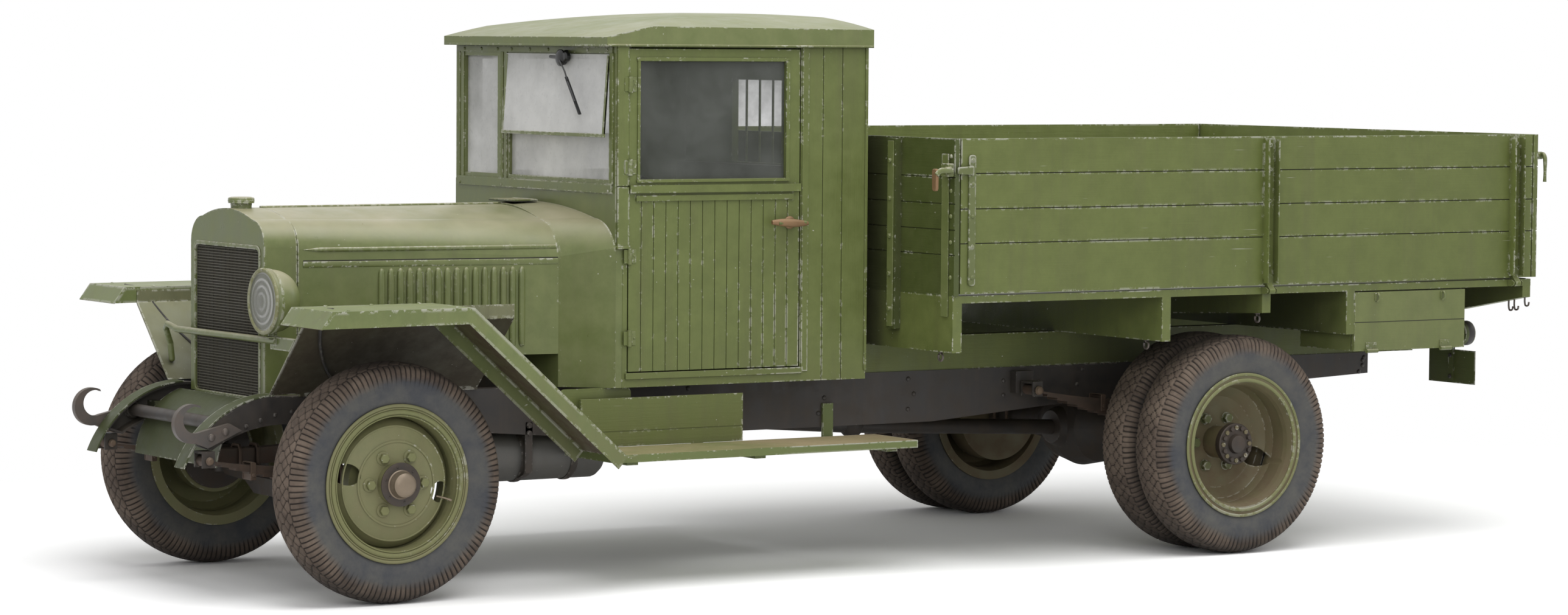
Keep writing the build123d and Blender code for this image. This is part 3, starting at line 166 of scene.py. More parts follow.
def enamel(name, main, second, fade, dirt, chip="#cfcec2", sky=0.55, low=0.5, chips=0.5, grain=None, rough=0.5,
           reach=0.95, shade_and_grime=0.6, shelter=0.07, wear=0.010, dragged=False, splash=None, planks=None):
    """Alkyd enamel brushed on steel or planks, years old: satin, mottled, paler where it faces the sky with sun
    fading, dust and a painted highlight, dusty low down, darkened with painted shade and some grime wherever other
    parts keep the sky off, and chipped to the white primer along its edges. Sky, low, shade_and_grime and chips are
    the strengths of the fading with its painted highlight, the dust, the painted shade with its grime and the chips;
    reach is the height in metres where the dust ends, shelter how near a thing keeps the sky off and wear the radius
    of a worn edge. Splash is the mud's colour and its share on faces turned outwards, and planks the width of a floor
    board."""
    material, add, surface, place = blank(name)
    facing = add("TexCoord", out="Normal")
    up = add("SeparateXYZ", {0: facing}, out="Z")
    height = add("SeparateXYZ", {0: place}, out="Z")
    # From clouds a metre wide down to the brush's own marks: scale, detail and roughness of each noise.
    broad, mottle, fine, flake, fleck = (
        add("TexNoise", {"Vector": place, "Scale": scale, "Detail": detail, "Roughness": fall})
        for scale, detail, fall in ((1.7, 4.0, 0.6), (11.0, 8.0, 0.66), (95.0, 5.0, 0.7), (42.0, 9.0, 0.72),
                                    (58.0, 3.0, 0.5)))
    # Rain streaks: noise that is long in Z, a few centimetres wide.
    tall = add("Mapping", {"Vector": place, "Scale": (16.0, 16.0, 1.1)})
    streak = add("TexNoise", {"Vector": tall, "Scale": 1.0, "Detail": 5.0, "Roughness": 0.6})
    # Sun fading and dust on what faces the sky, with a painted highlight.
    fade_dust_and_highlight = add("MapRange", {0: up, 1: 0.25, 2: 0.95, 4: sky})
    patch = add("MapRange", {0: broad, 1: 0.32, 2: 0.62, 3: 0.25})
    # Road dust thins out with height.
    dusty = add("MapRange", {0: height, 1: reach, 2: 0.35, 4: low})
    cloud = add("MapRange", {0: mottle, 1: 0.35, 2: 0.62, 3: 0.35})
    dusty = add("Math", {0: dusty, 1: cloud}, operation="MULTIPLY")
    # Each layer's share and its colour, from the paint itself out to the chips.
    layers = [(add("MapRange", {0: mottle, 1: 0.38, 2: 0.66}), second),
              (add("MapRange", {0: streak, 1: 0.5, 2: 0.8, 4: 0.3}), dirt),
              (add("Math", {0: fade_dust_and_highlight, 1: patch}, operation="MULTIPLY"), fade),
              (dusty, dirt)]
    if splash:
        # Mud thrown up by the tyre: on undersides, and on what faces away from the middle of the truck.
        mud_colour, outward_share = splash
        across = add("Math", {0: add("SeparateXYZ", {0: place}, out="Y"),
                              1: add("SeparateXYZ", {0: facing}, out="Y")}, operation="MULTIPLY")
        outward = add("MapRange", {0: across, 1: 0.10, 2: 0.35, 4: outward_share})
        below = add("MapRange", {0: height, 1: MUD_NONE_Z, 2: MUD_FULL_Z})
        outward = add("Math", {0: outward, 1: below}, operation="MULTIPLY")
        under = add("MapRange", {0: up, 1: -0.25, 2: -0.55})
        mud = add("Math", {0: outward, 1: under}, operation="MAXIMUM")
        clots = add("MapRange", {0: mottle, 1: 0.3, 2: 0.6, 3: 0.7, 4: 0.95})
        layers.append((add("Math", {0: mud, 1: clots}, operation="MULTIPLY"), mud_colour))
    # Painted shade, with some grime: darker wherever a nearby part keeps the sky off.
    open_sky = add("AmbientOcclusion", {"Distance": shelter}, out="AO", samples=4)
    layers.append((add("MapRange", {0: open_sky, 1: 0.75, 2: 0.1, 4: shade_and_grime}), "#37352a"))
    if planks:
        # Painted shade, with dirt: dark lines in the gaps between floor boards that run lengthwise.
        row = add("Math", {0: add("SeparateXYZ", {0: place}, out="Y"), 1: planks / 2}, operation="PINGPONG")
        gap = add("MapRange", {0: row, 1: PLANK_GAP_EDGE, 2: PLANK_GAP_CORE})
        on_top = add("MapRange", {0: up, 1: 0.6, 2: 0.9})
        layers.append((add("Math", {0: gap, 1: on_top}, operation="MULTIPLY"), GAP_SHADE))
    # Chips: where the rounded normal leaves the face's own, broken up by noise.
    soft = add("Bevel", {"Radius": wear}, samples=4)
    flat = add("NewGeometry", out="Normal")
    turned = add("VectorMath", {0: soft, 1: flat}, out="Value", operation="DOT_PRODUCT")
    edge = add("MapRange", {0: turned, 1: 0.995, 2: 0.90})
    # A groove's own walls are out of reach of knocks.
    bare = add("AmbientOcclusion", {"Distance": 0.012}, out="AO", samples=4)
    bare = add("MapRange", {0: bare, 1: 0.55, 2: 0.80})
    edge = add("Math", {0: edge, 1: bare}, operation="MULTIPLY")
    where = add("MapRange", {0: broad, 1: 0.35, 2: 0.65, 3: -0.12, 4: 0.10})
    flake = add("Math", {0: flake, 1: where}, operation="ADD")
    rubbed = add("MapRange", {0: flake, 1: 0.60 - 0.12 * chips, 2: 0.62 - 0.12 * chips})
    fleck = add("MapRange", {0: fleck, 1: 0.765 - 0.02 * chips, 2: 0.775 - 0.02 * chips, 4: 0.8})
    worn = add("Math", {0: edge, 1: rubbed}, operation="MULTIPLY")
    worn = add("Math", {0: worn, 1: fleck}, operation="MAXIMUM")
    if dragged:
        # Long scratches, nearly level, where loads were dragged along the boards.
        drawn = add("Mapping", {"Vector": place, "Rotation": (0.0, 0.05, 0.0), "Scale": (4.0, 4.0, 190.0)})
        scratch = add("TexNoise", {"Vector": drawn, "Scale": 1.0, "Detail": 2.0, "Roughness": 0.4})
        scratch = add("MapRange", {0: scratch, 1: 0.775, 2: 0.80, 4: 0.8})
        worn = add("Math", {0: worn, 1: scratch}, operation="MAXIMUM")
    layers.append((worn, chip))
    colour = linear(main)
    for share, shade in layers:
        colour = add("Mix", {0: share, 6: colour, 7: linear(shade)}, **COLOURS)
    gloss = add("MapRange", {0: mottle, 1: 0.3, 2: 0.7, 3: rough - 0.09, 4: rough + 0.12})
    matt = add("Math", {0: dusty, 1: 0.3, 2: gloss}, operation="MULTIPLY_ADD")
    matt = add("Math", {0: worn, 1: 0.2, 2: matt}, operation="MULTIPLY_ADD", use_clamp=True)
    relief = add("Math", {0: worn, 1: -0.6, 2: fine}, operation="MULTIPLY_ADD")
    if grain:
        # Planed softwood under the paint: fibres about 3 mm wide, long in the board's direction.
        along = add("Mapping", {"Vector": place, "Scale": grain})
        fibre = add("TexNoise", {"Vector": along, "Scale": 1.0, "Detail": 7.0, "Roughness": 0.6})
        relief = add("Math", {0: fibre, 1: 2.2, 2: relief}, operation="MULTIPLY_ADD")
    bump = add("Bump", {"Height": relief, "Strength": 0.32 if grain else 0.14, "Distance": 0.0012})
    surface({"Base Color": colour, "Roughness": matt, "Normal": bump})
    return material


def bare_metal(name, main, rust, dirt, metallic=0.55, rough=0.5):
    """Forged, cast or rolled steel without paint: dark, a little brown with rust, duller where dusty."""
    material, add, surface, place = blank(name)
    cloud = add("TexNoise", {"Vector": place, "Scale": 14.0, "Detail": 8.0, "Roughness": 0.7})
    pits = add("TexNoise", {"Vector": place, "Scale": 196.0, "Detail": 4.0, "Roughness": 0.6})
    up = add("SeparateXYZ", {0: add("TexCoord", out="Normal")}, out="Z")
    # Painted shade: darker wherever a nearby part keeps the sky off.
    open_sky = add("AmbientOcclusion", {"Distance": 0.05}, out="AO", samples=4)
    colour = linear(main)
    for share, shade in ((add("MapRange", {0: cloud, 1: 0.36, 2: 0.64}), rust),
                         (add("MapRange", {0: up, 1: 0.1, 4: 0.5}), dirt),
                         (add("MapRange", {0: open_sky, 1: 0.7, 2: 0.1, 4: 0.6}), "#1f1b17")):
        colour = add("Mix", {0: share, 6: colour, 7: linear(shade)}, **COLOURS)
    gloss = add("MapRange", {0: cloud, 1: 0.3, 2: 0.7, 3: rough - 0.1, 4: rough + 0.2})
    bump = add("Bump", {"Height": pits, "Strength": 0.25, "Distance": 0.0008})
    surface({"Base Color": colour, "Roughness": gloss, "Normal": bump, "Metallic": metallic})
    return material


def rubber(name):
    """Vulcanised tyre rubber: dark grey side walls that have bloomed, brown dust ground into the tread, and painted
    shade that darkens the grooves and wherever another tyre or the fender keeps the sky off. The mesh gives relief, 1
    on the blocks and 0 in the grooves, and tread, 1 on the running surface and 0 on the side wall."""
    material, add, surface, place = blank(name)
    relief, tread = (add("Attribute", out="Fac", attribute_name=key) for key in ("relief", "tread"))
    cloud = add("TexNoise", {"Vector": place, "Scale": 7.0, "Detail": 8.0, "Roughness": 0.68})
    fine = add("TexNoise", {"Vector": place, "Scale": 160.0, "Detail": 4.0, "Roughness": 0.6})
    tone = add("MapRange", {0: cloud, 1: 0.38, 2: 0.66})
    wall, road = (add("Mix", {0: tone, 6: linear(main), 7: linear(second)}, **COLOURS)
                  for main, second in (("#3e4045", "#5a5955"), ("#574b42", "#7f7063")))
    shift = add("Math", {0: cloud, 1: 0.9, 2: -0.45}, operation="MULTIPLY_ADD")
    share = add("Math", {0: tread, 1: shift}, operation="ADD")
    share = add("MapRange", {0: share, 1: 0.15, 2: 0.75})
    colour = add("Mix", {0: share, 6: wall, 7: road}, **COLOURS)
    # Painted shade: the grooves darkened, and darkening where another tyre or the fender keeps the sky off.
    open_sky = add("AmbientOcclusion", {"Distance": 0.5}, out="AO", samples=4)
    for shade_share, shade in ((add("MapRange", {0: relief, 1: 0.8, 2: 0.15, 4: 0.85}), "#221d1b"),
                        (add("MapRange", {0: open_sky, 1: 0.55, 2: 0.15, 4: 0.8}), "#1d1b19")):
        colour = add("Mix", {0: shade_share, 6: colour, 7: linear(shade)}, **COLOURS)
    matt = add("MapRange", {0: share, 3: 0.62, 4: 0.88})
    bump = add("Bump", {"Height": fine, "Strength": 0.3, "Distance": 0.0006})
    surface({"Base Color": colour, "Roughness": matt, "Normal": bump})
    return material


def dusty_glass(name, dust, second, clear, thick):
    """Flat drawn window glass with years of dust on it: the film lets the cab show through, thin in wiped patches
    and nearly closed in others, and dulls the reflection."""
    material, add, surface, place = blank(name)
    cloud = add("TexNoise", {"Vector": place, "Scale": 3.2, "Detail": 5.0, "Roughness": 0.55})
    grit = add("TexNoise", {"Vector": place, "Scale": 45.0, "Detail": 5.0, "Roughness": 0.65})
    film = add("MapRange", {0: cloud, 1: 0.35, 2: 0.66, 3: clear, 4: thick})
    film = add("Math", {0: grit, 1: 0.10, 2: film}, operation="MULTIPLY_ADD", use_clamp=True)
    colour = add("Mix", {0: cloud, 6: linear(dust), 7: linear(second)}, **COLOURS)
    haze = add("MapRange", {0: grit, 1: 0.3, 2: 0.7, 3: 0.22, 4: 0.45})
    surface({"Base Color": colour, "Alpha": film, "Roughness": haze, "IOR": GLASS_IOR})
    return material


def clear_glass(name, tint, film, middle):
    """Pressed lamp glass, nearly clear, with a thin even film of dust. The cover is heavier in rings one pitch apart
    round the middle of the lamp, in step with its round ribs, and lighter at the middle itself."""
    material, add, surface, place = blank(name)
    grit = add("TexNoise", {"Vector": place, "Scale": 9.0, "Detail": 4.0, "Roughness": 0.5})
    cover = add("MapRange", {0: grit, 1: 0.3, 2: 0.75, 3: film, 4: film + 0.18})
    away = add("VectorMath", {0: place, 1: middle}, out="Value", operation="DISTANCE")
    turn = add("Math", {0: away, 1: 2 * np.pi / RIB_PITCH}, operation="MULTIPLY")
    rib = add("MapRange", {0: add("Math", {0: turn}, operation="SINE"), 1: -0.2, 4: 0.45})
    far = add("MapRange", {0: away, 1: 0.02, 2: 0.09, 3: 0.3})
    rib = add("Math", {0: rib, 1: far}, operation="MULTIPLY")
    cover = add("Math", {0: cover, 1: rib}, operation="ADD", use_clamp=True)
    colour = add("Mix", {0: grit, 6: linear(tint), 7: linear("#b9b8b0")}, **COLOURS)
    haze = add("MapRange", {0: grit, 1: 0.3, 2: 0.75, 3: 0.08, 4: 0.28})
    surface({"Base Color": colour, "Alpha": cover, "Roughness": haze, "IOR": GLASS_IOR})
    return material


def plain(name, main, second, rough=0.5, scale=20.0, strength=0.15):
    """A two-tone mottled surface with a fine pebbled relief, such as moulded rubber or cast hard plastic."""
    material, add, surface, place = blank(name)
    cloud = add("TexNoise", {"Vector": place, "Scale": scale, "Detail": 7.0, "Roughness": 0.65})
    pits = add("TexVoronoi", {"Vector": place, "Scale": scale * 20}, out="Distance")
    tone = add("MapRange", {0: cloud, 1: 0.38, 2: 0.66})
    colour = add("Mix", {0: tone, 6: linear(main), 7: linear(second)}, **COLOURS)
    gloss = add("MapRange", {0: cloud, 1: 0.3, 2: 0.7, 3: rough - 0.08, 4: rough + 0.12})
    bump = add("Bump", {"Height": pits, "Strength": strength, "Distance": 0.0006})
    surface({"Base Color": colour, "Roughness": gloss, "Normal": bump})
    return material


PAINTS = {
    # Moulded tyre rubber with road dust in its pattern.
    "rubber": lambda: rubber("dusty_tyre_rubber"),
    # Sheet steel under enamel, brushed over more than once.
    # On the hood and the roof, the pale sky fade stands for sun fading and dust and also a painted highlight.
    "body": lambda: enamel("enamel_on_steel", "#6b7544", "#777f4f", "#b6ae92", "#67614a", sky=0.78, rough=0.36),
    "roof": lambda: enamel("enamel_on_roof", "#6e7848", "#7a8253", "#a3a286", "#67614a", sky=0.58, rough=0.45),
    # Painted shade: a much darker copy of the body's enamel, with strong shade under nearby parts, for the valance
    # between the horns.
    "horns": lambda: enamel("shaded_enamel_on_valance", "#3e4727", "#49522f", "#62653f", "#3e3828", sky=0.15, low=0.4,
                            chips=0.7, shelter=0.2, shade_and_grime=0.8),
    # Planed softwood boards under the same enamel; the grain runs the way the boards do.
    "boards_up": lambda: enamel("enamel_on_upright_boards", "#656f3a", "#707a44", "#92926e", "#5c573f",
                                grain=(150.0, 150.0, 5.0), chips=0.45),
    "boards_long": lambda: enamel("enamel_on_long_boards", "#646e36", "#6e7840", "#92926e", "#5b563f",
                                  grain=(5.0, 150.0, 150.0), chips=0.65, wear=0.014, dragged=True),
    # Painted shade: a darker copy of the boards' enamel for the front board in the cab's shadow, and for the rear
    # plate.
    "boards_shade": lambda: enamel("shaded_enamel_on_front_board", "#465023", "#50592b", "#6b6c48", "#3f3927",
                                   grain=(150.0, 5.0, 150.0), chips=0.45, shade_and_grime=0.8, shelter=0.3),
    # Strong painted shade on the floor boards wherever the frame and the bed keep the sky off.
    "under_bed": lambda: enamel("enamel_under_bed", "#626c38", "#6d763f", "#87876a", "#463d2c",
                                grain=(5.0, 150.0, 150.0), chips=0.5, shade_and_grime=0.92, shelter=0.45, planks=0.165),
    "box": lambda: enamel("enamel_on_toolbox", "#6f7846", "#79814f", "#92926e", "#5f5a44",
                          grain=(5.0, 150.0, 150.0), chips=0.5),
    # Pressed sheet near the wheels: knocked at its edges and thrown over with mud.
    "fender": lambda: enamel("enamel_on_fenders", "#6d7848", "#798251", "#999d7a", "#655a45", chips=1.25, sky=0.5,
                             wear=0.016, splash=("#4a3b2c", 0.0)),
    # Strong painted shade where the fender and the tyre keep the sky off, over dark dust and mud.
    "apron": lambda: enamel("enamel_on_aprons", "#75775a", "#80805f", "#9a9b78", "#40352a", chips=0.9, wear=0.014,
                            shelter=0.35, shade_and_grime=0.93, low=0.6, reach=1.15, splash=("#3b3024", 1.0)),
    "rim": lambda: enamel("enamel_on_wheels", "#7d7f56", "#8a8a62", "#98966f", "#776b50", low=0.3, chips=0.4,
                          shade_and_grime=0.35),
    "dish": lambda: enamel("dusty_enamel_on_rear_wheels", "#6f6c4c", "#7f7a58", "#8b8463", "#6e5c49", low=0.75,
                           chips=0.3, shade_and_grime=0.45),
    "step": lambda: enamel("enamel_on_running_boards", "#67763f", "#6f7f49", "#ac9c7a", "#6d5f45", sky=1.0, low=0.3,
                           chips=0.8),
    # Frame steel under a thin bitumen black, dusty and dull.
    "black": lambda: enamel("bitumen_black_on_frame", "#2b2a2a", "#363432", "#5a5148", "#514336",
                            chip="#7d7871", sky=0.45, low=0.5, chips=0.2, rough=0.5),
    # Bare metals, from forged hooks to the dark core behind the grille.
    "steel": lambda: bare_metal("forged_steel", "#5d5956", "#6b6059", "#787066"),
    "spring": lambda: bare_metal("spring_steel_leaves", "#4e443c", "#5e4d42", "#665b50", rough=0.6),
    "iron": lambda: bare_metal("cast_iron", "#38352f", "#4a3f33", "#544b3f", metallic=0.4, rough=0.65),
    "grille": lambda: bare_metal("radiator_core_steel", "#1e1c19", "#292621", "#3a362e", metallic=0.3, rough=0.7),
    "brown": lambda: bare_metal("worn_brown_steel", "#86684a", "#967858", "#a0876a", metallic=0.35, rough=0.5),
    # Oilcloth, a phenolic wheel and lacquered trim.
    "leather": lambda: plain("oilcloth_seat", "#35291f", "#43352a", rough=0.55, scale=30.0),
    "bakelite": lambda: plain("phenolic_moulding", "#191919", "#232323", rough=0.3, scale=15.0, strength=0.05),
    "wiper": lambda: plain("black_lacquer", "#131314", "#1d1d1f", rough=0.35, scale=25.0, strength=0.05),
    # Drawn window glass, pressed lamp glass, clear and red, and the lamp's silvered reflector.
    "glass_front": lambda: dusty_glass("dusty_windscreen_glass", "#e4e4e4", "#f2f2f2", 0.42, 0.88),
    # Painted shade: the door glass's dark grey film stands in for the shaded cab seen through it, over the dust.
    "glass_door": lambda: dusty_glass("dusty_door_glass_with_shade", "#595c56", "#70736e", 0.22, 0.60),
    "lens": lambda: clear_glass("pressed_lamp_glass", "#f4f5f3", 0.10, (2.72, 0.47, 1.12)),
    "red": lambda: plain("red_lamp_glass", "#5a1512", "#6b1d17", rough=0.2, scale=30.0, strength=0.1),
    "silver": lambda: bare_metal("silvered_reflector", "#c9c9c4", "#b3b2aa", "#a8a69c", metallic=0.9, rough=0.25),
    # Loose fittings, each paler, darker or rustier than what they sit on.
    "ring": lambda: enamel("enamel_on_lock_rings", "#7a7e50", "#858a5b", "#94916c", "#77694d", low=0.3, chips=0.5),
    "nut": lambda: enamel("enamel_on_nuts", "#666f42", "#6f774b", "#87865f", "#5a5140", low=0.35, chips=0.8),
    "hub_iron": lambda: bare_metal("oily_hub_iron", "#3a3531", "#4c423a", "#5b5046", metallic=0.4, rough=0.5),
    "cap": lambda: bare_metal("brown_hub_cap_steel", "#7d6f5f", "#8a7c6a", "#998c7a", metallic=0.5, rough=0.42),
    "pin": lambda: bare_metal("rusted_pin_steel", "#5f4f43", "#71604f", "#7c6f60", metallic=0.35, rough=0.6),
    "clip": lambda: bare_metal("rusted_spring_clip", "#524438", "#625145", "#6d6156", metallic=0.35, rough=0.62),
    "drum": lambda: enamel("grey_paint_on_drum", "#5d5d5a", "#6a6966", "#7b786e", "#5a5248", low=0.3, chips=0.3),
    # Painted shade: the near black of the strips laid in seams and grooves to draw their shadow lines.
    "gap": lambda: plain("shadow_gap_paint", GAP_SHADE, "#2e2d22", rough=0.8, scale=12.0),
    "mesh": lambda: bare_metal("woven_grille_wire", "#4b493e", "#575447", "#625d4e", metallic=0.3, rough=0.5),
}
NODE_PAINT = {
    "body": ("hood_left", "hood_right", "radiator_shell", "cowl", "cab_front", "cowl_vent_lid", "lamp_bar",
             "head_lamp"),
    "roof": ("cab_roof",),
    "horns": ("frame_horn_covers",),
    "boards_up": ("cab_back", "cab_sides", "door_left", "door_right", "cab_floor_and_seat_box"),
    "boards_long": ("bed_side_left", "bed_side_right", "tailgate", "splash_boards"),
    "boards_shade": ("bed_front_board", "number_plate_and_lamp"),
    "under_bed": ("bed_floor",),
    "box": ("toolbox", "toolbox_lid"),
    "fender": ("fenders",),
    "apron": ("fender_aprons",),
    "rim": ("wheel_front_left", "wheel_front_right"),
    "dish": ("wheels_rear_left", "wheels_rear_right"),
    "step": ("running_boards",),
    "black": ("frame_rails", "frame_cross_members", "spring_hangers", "axle_front_beam", "knuckle_left",
              "knuckle_right", "tie_rod", "axle_rear_housing", "drive_shaft", "steering_column"),
    "steel": ("tow_hooks", "exhaust"),
    "spring": ("leaf_springs",),
    "iron": ("engine_and_gearbox",),
    "grille": ("radiator_core_and_grille",),
    "leather": ("seat_cushions",),
    "bakelite": ("steering_wheel",),
    "wiper": ("wiper",),
    "glass_front": ("windscreen_glass", "windscreen_flap"),
    "glass_door": ("door_glass_left", "door_glass_right"),
}


@cache
def paint(name):
    """The material of that name, made when it is first asked for."""
    return PAINTS[name]()


# ---- mesh kit ----
def unit(vector):
    """The vector scaled to length one."""
    vector = np.asarray(vector, float)
    return vector / np.linalg.norm(vector)


def axes(normal, up=UP):
    """Three unit vectors: u is up x normal, v is normal x u, and the normal itself."""
    w = unit(normal)
    u = unit(np.cross(up, w)) if abs(np.dot(unit(up), w)) < 0.99 else unit(np.cross(LEFT, w))
    return u, np.cross(w, u), w


def lattice_faces(rows, columns, wrap_rows=False, wrap_columns=False):
    """Faces of a grid of points: corner (i, j), (i+1, j), (i+1, j+1), (i, j+1), joined round where it wraps."""
    i = np.arange(rows if wrap_rows else rows - 1)[:, None]
    j = np.arange(columns if wrap_columns else columns - 1)[None, :]
    i2, j2 = (i + 1) % rows, (j + 1) % columns
    corners = (i * columns + j, i2 * columns + j, i2 * columns + j2, i * columns + j2)
    return np.stack([np.broadcast_to(c, (i.size, j.size)) for c in corners], -1).reshape(-1, 4)


def joined(shapes):
    """One shape from several: their points end to end, their face numbers moved on by the points before them."""
    shapes = [shape for shape in shapes if len(shape[0])]
    starts = np.cumsum([0] + [len(points) for points, _ in shapes[:-1]])
    faces = [face + start for start, (_, group) in zip(starts, shapes) for face in group]
    return np.concatenate([points for points, _ in shapes]), faces


def rings(points):
    """A shape from a stack of rings, (ring, corner, xyz): the lattice between them and a flat face at each end."""
    count, corners = points.shape[:2]
    ends = [np.arange(corners)[::-1], np.arange(corners) + (count - 1) * corners]
    return points.reshape(-1, 3), list(lattice_faces(count, corners, wrap_columns=True)) + ends


def revolve(profile, place, axis, steps=24, up=UP, phase=0.0):
    """Surface of revolution: a profile of (out, radius) in mm, turned about the axis through the place. The point
    at angle a is place + out * axis + radius * (cos a * u + sin a * v)."""
    profile = np.asarray(profile, float) * MM
    u, v, w = axes(axis, up)
    angle = np.arange(steps)[None, :, None] * 2 * np.pi / steps + phase
    round_part = profile[:, 1, None, None] * (np.cos(angle) * u + np.sin(angle) * v)
    return rings(np.asarray(place) + profile[:, 0, None, None] * w + round_part)


def ring_of(section, place, axis, steps=64):
    """A ring: a closed section of (out, radius) in mm, turned about the axis through the place."""
    section = np.asarray(section, float) * MM
    u, v, w = axes(axis)
    angle = np.arange(steps)[:, None, None] * 2 * np.pi / steps
    round_part = section[:, 1, None] * (np.cos(angle) * u + np.sin(angle) * v)
    points = np.asarray(place) + section[:, 0, None] * w + round_part
    return points.reshape(-1, 3), list(lattice_faces(steps, len(section), wrap_rows=True, wrap_columns=True))


def bead(out, radius, wide, high, count=14):
    """Closed oval section for ring_of: (out + high * sin a, radius + wide * cos a)."""
    a = np.arange(count) * 2 * np.pi / count
    return np.stack([out + high * np.sin(a), radius + wide * np.cos(a)], 1)


def tube(path, wide, high=None, steps=12, level=UP):
    """An oval bar along a path: at each point the tangent t, u = level x t and v = t x u, with the section
    wide * cos a * u + high * sin a * v. Sizes are half widths in mm, one number or one for each point."""
    path = np.asarray(path, float)
    wide = np.broadcast_to(np.asarray(wide, float) * MM, len(path))[:, None, None]
    high = wide if high is None else np.broadcast_to(np.asarray(high, float) * MM, len(path))[:, None, None]
    tangent = np.gradient(path, axis=0)
    tangent /= np.linalg.norm(tangent, axis=1)[:, None]
    u = np.cross(level, tangent)
    u /= np.linalg.norm(u, axis=1)[:, None]
    v = np.cross(tangent, u)
    angle = np.arange(steps)[None, :, None] * 2 * np.pi / steps
    return rings(path[:, None] + wide * np.cos(angle) * u[:, None] + high * np.sin(angle) * v[:, None])


def loop(path, wide, high, level, steps=10):
    """A closed oval bar round a closed path, as tube but with the last ring joined to the first."""
    tangent = np.roll(path, -1, axis=0) - np.roll(path, 1, axis=0)
    tangent /= np.linalg.norm(tangent, axis=1)[:, None]
    u = np.cross(level, tangent)
    u /= np.linalg.norm(u, axis=1)[:, None]
    v = np.cross(tangent, u)
    angle = np.arange(steps)[None, :, None] * 2 * np.pi / steps
    points = path[:, None] + (wide * np.cos(angle) * u[:, None] + high * np.sin(angle) * v[:, None]) * MM
    return points.reshape(-1, 3), list(lattice_faces(len(path), steps, wrap_rows=True, wrap_columns=True))


def inset(outline, amount):
    """An outline moved inwards: each corner goes along its bisector by amount / cos(half the turn)."""
    run = np.roll(outline, -1, axis=0) - outline
    run /= np.linalg.norm(run, axis=1)[:, None]
    out_next = np.stack([run[:, 1], -run[:, 0]], 1)
    out_last = np.roll(out_next, 1, axis=0)
    both = out_next + out_last
    return outline - amount * both / np.maximum(0.5 * (both**2).sum(1), 0.3)[:, None]


def rounded(corners, radius, steps=4):
    """An outline with its corners cut back by the radius and joined by a quadratic curve through the corner:
    (1-t)^2 * a + 2t(1-t) * corner + t^2 * b."""
    corners = np.asarray(corners, float)
    towards_last = np.roll(corners, 1, axis=0) - corners
    towards_next = np.roll(corners, -1, axis=0) - corners
    radius = np.broadcast_to(np.asarray(radius, float), len(corners))[:, None]
    a = corners + towards_last / np.linalg.norm(towards_last, axis=1)[:, None] * radius
    b = corners + towards_next / np.linalg.norm(towards_next, axis=1)[:, None] * radius
    t = np.linspace(0, 1, steps)[None, :, None]
    curve = (1 - t) ** 2 * a[:, None] + 2 * t * (1 - t) * corners[:, None] + t**2 * b[:, None]
    return curve.reshape(-1, 2)


def strip(wide, high, radius=3.0):
    """Outline of a rounded rectangle, in mm, about its middle."""
    w, h = wide / 2, high / 2
    return rounded(((-w, -h), (w, -h), (w, h), (-w, h)), min(radius, w * 0.98, h * 0.98))


def plate(outline, thick, place, normal, up=UP, edge=0.8):
    """A flat plate: the outline, in mm along u and v, carried along the normal, with both rims chamfered."""
    u, v, w = axes(normal, up)
    outline = np.asarray(outline, float)
    thin = inset(outline, edge)
    layers = ((thin, 0.0), (outline, edge), (outline, thick - edge), (thin, thick))
    points = np.stack([o[:, :1] * u + o[:, 1:] * v + high * w for o, high in layers]) * MM
    return rings(points + np.asarray(place))


def hex_nut(place, normal, across=17.0, high=12.0, washer=12.0, up=UP, phase=0.0):
    """A hexagon with a domed top, turned in six steps, on a round washer. Across is over the flats."""
    # The corners' radius is the width over the flats divided by the root of three.
    r = across / 1.732
    body = revolve(((1.5, 0), (1.5, r), (high - 2, r), (high, r * 0.86), (high + 1, 0)), place, normal, 6, up, phase)
    if not washer:
        return body
    ring = revolve(((0, 0), (0, washer), (1.6, washer), (2.2, washer - 0.8), (2.2, 0)), place, normal, 20)
    return joined([ring, body])


def rivet(place, normal, radius=8.0, high=4.5):
    """A round head: radius * cos a over height * sin a, with a short straight foot."""
    a = np.linspace(0, np.pi / 2, 6)
    profile = np.vstack([((0, 0), (0, radius)), np.stack([0.6 + high * np.sin(a), radius * np.cos(a)], 1)])
    return revolve(profile, place, normal, 14)


def put(name, data):
    """A new object with that data, in the scene."""
    made = bpy.data.objects.new(name, data)
    bpy.context.scene.collection.objects.link(made)
    return made


def piece(name, shapes, material, body="truck", replaces=(), sharp=34.0, values=None):
    """Makes one finished piece from one shape or a list: seams merged, faces outwards, painted, and riding on its
    body."""
    points, faces = joined(shapes) if isinstance(shapes, list) else shapes
    mesh = bpy.data.meshes.new(name)
    mesh.from_pydata(points.reshape(-1, 3).tolist(), [], [face.tolist() for face in faces])
    if values is None:
        work = bmesh.new()
        work.from_mesh(mesh)
        bmesh.ops.remove_doubles(work, verts=work.verts, dist=2e-6)
        bmesh.ops.dissolve_degenerate(work, edges=work.edges, dist=1e-6)
        bmesh.ops.recalc_face_normals(work, faces=work.faces)
        work.to_mesh(mesh)
        work.free()
    for key, value in (values or {}).items():
        layer = mesh.attributes.new(key, "FLOAT", "POINT")
        layer.data.foreach_set("value", value.astype(np.float32).ravel())
    mesh.polygons.foreach_set("use_smooth", np.ones(len(mesh.polygons), bool))
    mesh.set_sharp_from_angle(angle=math.radians(sharp))
    mesh.materials.append(paint(material))
    made = put(name, mesh)
    if replaces:
        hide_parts(*replaces)
    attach(made, body)
    return made


